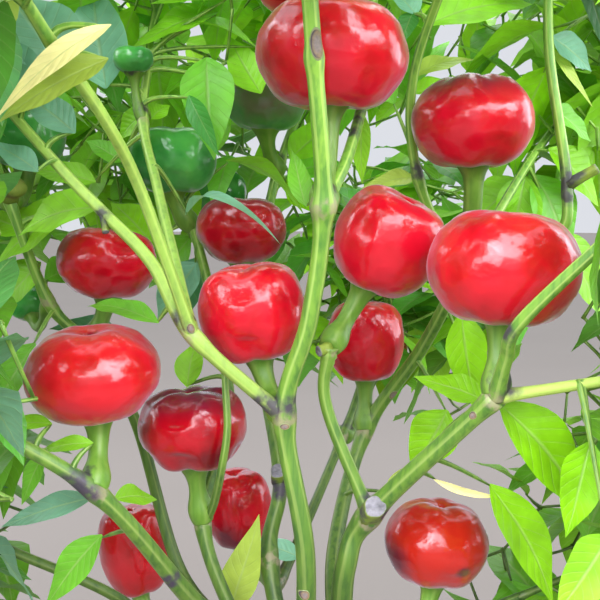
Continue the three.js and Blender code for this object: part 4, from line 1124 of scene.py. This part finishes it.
# The leaves face the front and the sky, and their stalks rise a little before they turn
FACING, STALK_RISE, HEART_STALK_POINTS = np.array((0, -0.75, 0.66)), 6, 9
leaf_parts, twig_parts = {"heart": []}, {"heart": []}
heart_dice = dice(4099)
heart_points = []
for green, leaving_at, start, tip, width, roll, arch in HEART_LEAVES:
    leaving_at, start, tip = (np.array(p, float) for p in (leaving_at, start, tip))
    line = unit(tip - start)
    facing = unit((UP if arch > 2 else FACING) + np.array([next(heart_dice) - 0.5, 0, 0]) * 0.5)
    facing = unit(facing - facing.dot(line) * line)
    facing = facing * math.cos(math.radians(roll)) + np.cross(line, facing) * math.sin(math.radians(roll))
    drop = math.atan(TIP_DROP * arch / (1 - TIP_SHORT * arch))
    length = np.linalg.norm(tip - start) / math.hypot(1 - TIP_SHORT * arch, TIP_DROP * arch)
    way = line * math.cos(drop) + facing * math.sin(drop)
    shade = 0.9 + 0.2 * next(heart_dice)
    # Painted light: heart leaves nearer the crown's middle, where shade falls, are made lighter
    shade *= 1 + 0.6 * fade(np.linalg.norm(start - CROWN_MIDDLE), PAINTED_LIGHT_REACH)
    colour = [c * shade for c in GREENS[green][:3]] + [1.0]
    wave, phase = 0.7 + 0.6 * next(heart_dice), 6 * next(heart_dice)
    leaf_parts["heart"].append(leaf_part(
        start, way, facing, 0, length, width, colour, arch, wave, phase, HEART_ROWS))
    held = leaving_at + UP * min(0.4 * np.linalg.norm(start - leaving_at), STALK_RISE)
    neck = start + way * 0.03 * length - facing * 0.5
    stalk = arc(leaving_at, held, neck, np.linspace(0, 1, HEART_STALK_POINTS)[:, None])
    radii = [*np.linspace(1.25, 0.7, HEART_STALK_POINTS - 1), 0.25]
    twig_parts["heart"].append(twig_part(stalk, radii, 8))
    heart_points += [start + (tip - start) * share for share in (0.15, 0.5, 0.85)]
heart_points = np.array(heart_points)

for own, (name, (bough, _, radius, seed, greens)) in enumerate(MASSES.items()):
    stations = limb_line(*LIMBS[bough])[0]
    way = unit(stations[-1] - stations[-2])
    random = dice(seed * 7919)
    first_turn = 360 * next(random)
    shoots = grow_shoots(own, stations[-1] + way * GAP, way, 0, first_turn, random, SHOOT_LEVELS, SHOOT_CLEAR)
    taken, leaves = {"points": np.empty((0, 3))}, []
    for shoot in shoots:
        count = 4 if shoot["level"] == SHOOT_LEVELS - 1 else 2
        leaves += grow_leaves(
            own, shoot, shoots, taken, random, count, SHOOT_TRIES, LEAF_SIZES, LIMB_CLEAR, LEAF_APART)

    # Finer shoots carry the mass on: from the ends of the source's shoots, from the middles of all of them,
    # and then from the nearest twig towards any part of the ball that is still empty
    finer = dice(seed * 104729 + 7)
    taken["points"] = np.vstack([taken["points"], heart_points])
    ends = [shoot for shoot in shoots if shoot["level"] == SHOOT_LEVELS - 1]
    fine = []
    for end in ends:
        inward = unit(ball_middles[own] - end["end"])
        for hand in (0, 120, 240):
            ahead = unit(turned(end["way"], end["turn"] + 40 + hand, FINE_ANGLE) + inward * 0.3)
            fine += grow_shoots(
                own, end["end"], ahead, SHOOT_LEVELS, 360 * next(finer), finer, FINE_LEVELS, FINE_ROOM)
    for shoot in shoots:
        for hand in (60, 240):
            half = shoot["start"] + (shoot["end"] - shoot["start"]) * (0.45 + 0.2 * next(finer))
            ahead = turned(shoot["way"], shoot["turn"] + hand + 50 * next(finer), SIDE_ANGLE)
            fine += grow_shoots(
                own, half, ahead, SHOOT_LEVELS, 360 * next(finer), finer, SHOOT_LEVELS + 1, FINE_ROOM)
    joints = np.array([shoot["end"] for shoot in shoots + fine])
    for _ in range(OPEN_MASSES.get(name, FILL_TRIES)):
        aim = np.array([next(finer) * 2 - 1 for _ in "xyz"])
        if np.linalg.norm(aim) > 1:
            continue
        aim = ball_middles[own] + aim * radius
        away = np.linalg.norm(joints - aim, axis=1)
        if away.min() < FILL_ROOM:
            continue
        start = joints[away.argmin()]
        ahead = unit(aim - start)
        length = min(away.min(), FILL_LENGTH)
        if not is_free(np.array([start + ahead * length * t for t in (0.5, 1)]), own, FINE_CLEAR):
            continue
        joints = np.vstack([joints, start + ahead * length])
        fine.append({"start": start, "end": joints[-1], "way": ahead, "turn": 360 * next(finer),
                     "level": FINE_LEVELS, "radius": FILL_RADIUS})
    every = shoots + fine
    for some, count, sizes in ((fine, 4, FINE_SIZES), (shoots, 3, EXTRA_SIZES)):
        for shoot in some:
            leaves += grow_leaves(
                own, shoot, every, taken, finer, count, FINE_TRIES, sizes, FINE_CLEAR, FINE_APART)
    # A finer twig that bears neither a leaf nor another twig is left out
    for _ in range(6):
        bearing = {tuple(leaf["root"]) for leaf in leaves} | {tuple(shoot["start"]) for shoot in fine}
        fine = [shoot for shoot in fine if tuple(shoot["end"]) in bearing]
    every = shoots + fine
    # Each spray of leaves takes two of the mass's greens
    kinds, spray = greens.split(), {}
    parts, twigs = [], []
    for leaf in leaves:
        root, way, size = leaf["root"], leaf["way"], leaf["size"]
        two_kinds = [kinds[int(next(finer) * len(kinds))] for _ in "ab"]
        two_kinds = spray.setdefault(id(leaf["shoot"]), two_kinds)
        tint = tint_of(two_kinds, root, finer)
        bend, wave, phase = 0.7 + 0.7 * next(finer), 0.6 + 0.8 * next(finer), 6 * next(finer)
        parts.append(leaf_part(root, way, UP, PETIOLE_LENGTH * size, LEAF_LENGTH * size, LEAF_WIDTH * size,
                               tint, bend, wave, phase))
        neck = root + way * (PETIOLE_LENGTH + 0.05 * LEAF_LENGTH) * size
        sag = root + way * PETIOLE_LENGTH * 0.5 * size - UP * 0.6
        twigs.append(twig_part([root - way, sag, neck - UP * 0.3], [0.9, 0.75, 0.3], 4))
    for shoot in every:
        start, end = shoot["start"], shoot["end"]
        bow = (start + end) / 2 + 0.03 * np.linalg.norm(end - start) * turned(shoot["way"], shoot["turn"], 90)
        r = shoot["radius"]
        twigs.append(twig_part([start - shoot["way"] * 0.8, start * 0.7 + bow * 0.3, bow, end],
                               [r * 1.15, r, r * 0.9, r * SHOOT_THINNER * 1.15]))
    leaf_parts[name], twig_parts[name] = parts, twigs

# Leaf: satin, lighter along the veins, with soft bulges between them. Light from behind comes through
# yellow-green.
leaf_skin, tree = new_material("living_leaf")
tint = add_node(tree, "Attribute", attribute_name="tint")
blade = add_node(tree, "UVMap", uv_map="blade")
across = add_node(tree, "SeparateXYZ", {"Vector": blade}, "X")
along = across.node.outputs["Y"]
centred = add_node(tree, "Math", {0: across, 1: 2.0, 2: -1.0}, operation="MULTIPLY_ADD")
aside = add_node(tree, "Math", {0: centred}, operation="ABSOLUTE")
slant = add_node(tree, "Math", {0: aside, 1: -0.2, 2: along}, operation="MULTIPLY_ADD")
saw = add_node(tree, "Math", {0: slant, 1: 9.0}, operation="MULTIPLY")
saw = add_node(tree, "Math", {0: saw, 1: 0.5}, operation="PINGPONG")
side_vein = add_node(tree, "MapRange", {
    "Value": saw, "From Min": 0.0, "From Max": 0.09, "To Min": 1.0, "To Max": 0.0})
midrib = add_node(tree, "MapRange", {
    "Value": aside, "From Min": 0.02, "From Max": 0.09, "To Min": 1.0, "To Max": 0.0})
vein = add_node(tree, "Math", {0: side_vein, 1: 0.42}, operation="MULTIPLY")
vein = add_node(tree, "Math", {0: vein, 1: midrib}, operation="MAXIMUM")
where = add_node(tree, "TexCoord", out="Object")
mottle = add_node(tree, "TexNoise", {"Vector": where, "Scale": 110.0, "Detail": 4.0})
shade = add_node(tree, "MapRange", {
    "Value": mottle, "From Min": 0.3, "From Max": 0.7, "To Min": 0.78, "To Max": 1.15})
body = add_node(tree, "MixRGB", {"Fac": 1.0, "Color1": tint, "Color2": shade}, blend_type="MULTIPLY")
vein_share = add_node(tree, "Math", {0: vein, 1: 0.42}, operation="MULTIPLY")
body = add_node(tree, "MixRGB", {"Fac": vein_share, "Color1": body, "Color2": "#9CB16E"})
glow = add_node(tree, "MixRGB", {"Fac": 0.35, "Color1": body, "Color2": "#8FAF24"})
bulge = add_node(tree, "Math", {0: saw, 1: -0.6, 2: vein}, operation="MULTIPLY_ADD")
relief = add_node(tree, "Bump", {"Height": bulge, "Strength": 0.26, "Distance": 0.0012}, invert=True)
surface = add_node(tree, "BsdfPrincipled", {
    "Base Color": body, "Roughness": 0.42, "Normal": relief, "Specular IOR Level": 0.45})
through = add_node(tree, "BsdfTranslucent", {"Color": glow, "Normal": relief})
both = add_node(tree, "MixShader", {"Fac": 0.42, 1: surface, 2: through})
add_node(tree, "OutputMaterial", {"Surface": both})

quarters = {"front_left": [], "front_right": [], "back_left": [], "back_right": []}
for name, (_, (x, y, _), *_) in MASSES.items():
    quarters[("front_" if y < 40 else "back_") + ("left" if x < 0 else "right")].append(name)
for quarter, names in quarters.items():
    leaves = add_piece("leaves_" + quarter, [part for name in names for part in leaf_parts[name]], leaf_skin)
    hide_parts(*names)
    twigs = add_piece("twigs_" + quarter, [part for name in names for part in twig_parts[name]], stem_skin)
leaves = add_piece("leaves_heart", leaf_parts["heart"], leaf_skin)
young_line = spline(np.array(YOUNG_SHOOT, float), np.linspace(0, len(YOUNG_SHOOT) - 1, YOUNG_RINGS))
twig_parts["heart"].append(twig_part(young_line, np.linspace(1.6, 1.2, YOUNG_RINGS), 12))
twigs = add_piece("leaf_stalks_heart", twig_parts["heart"], stem_skin)
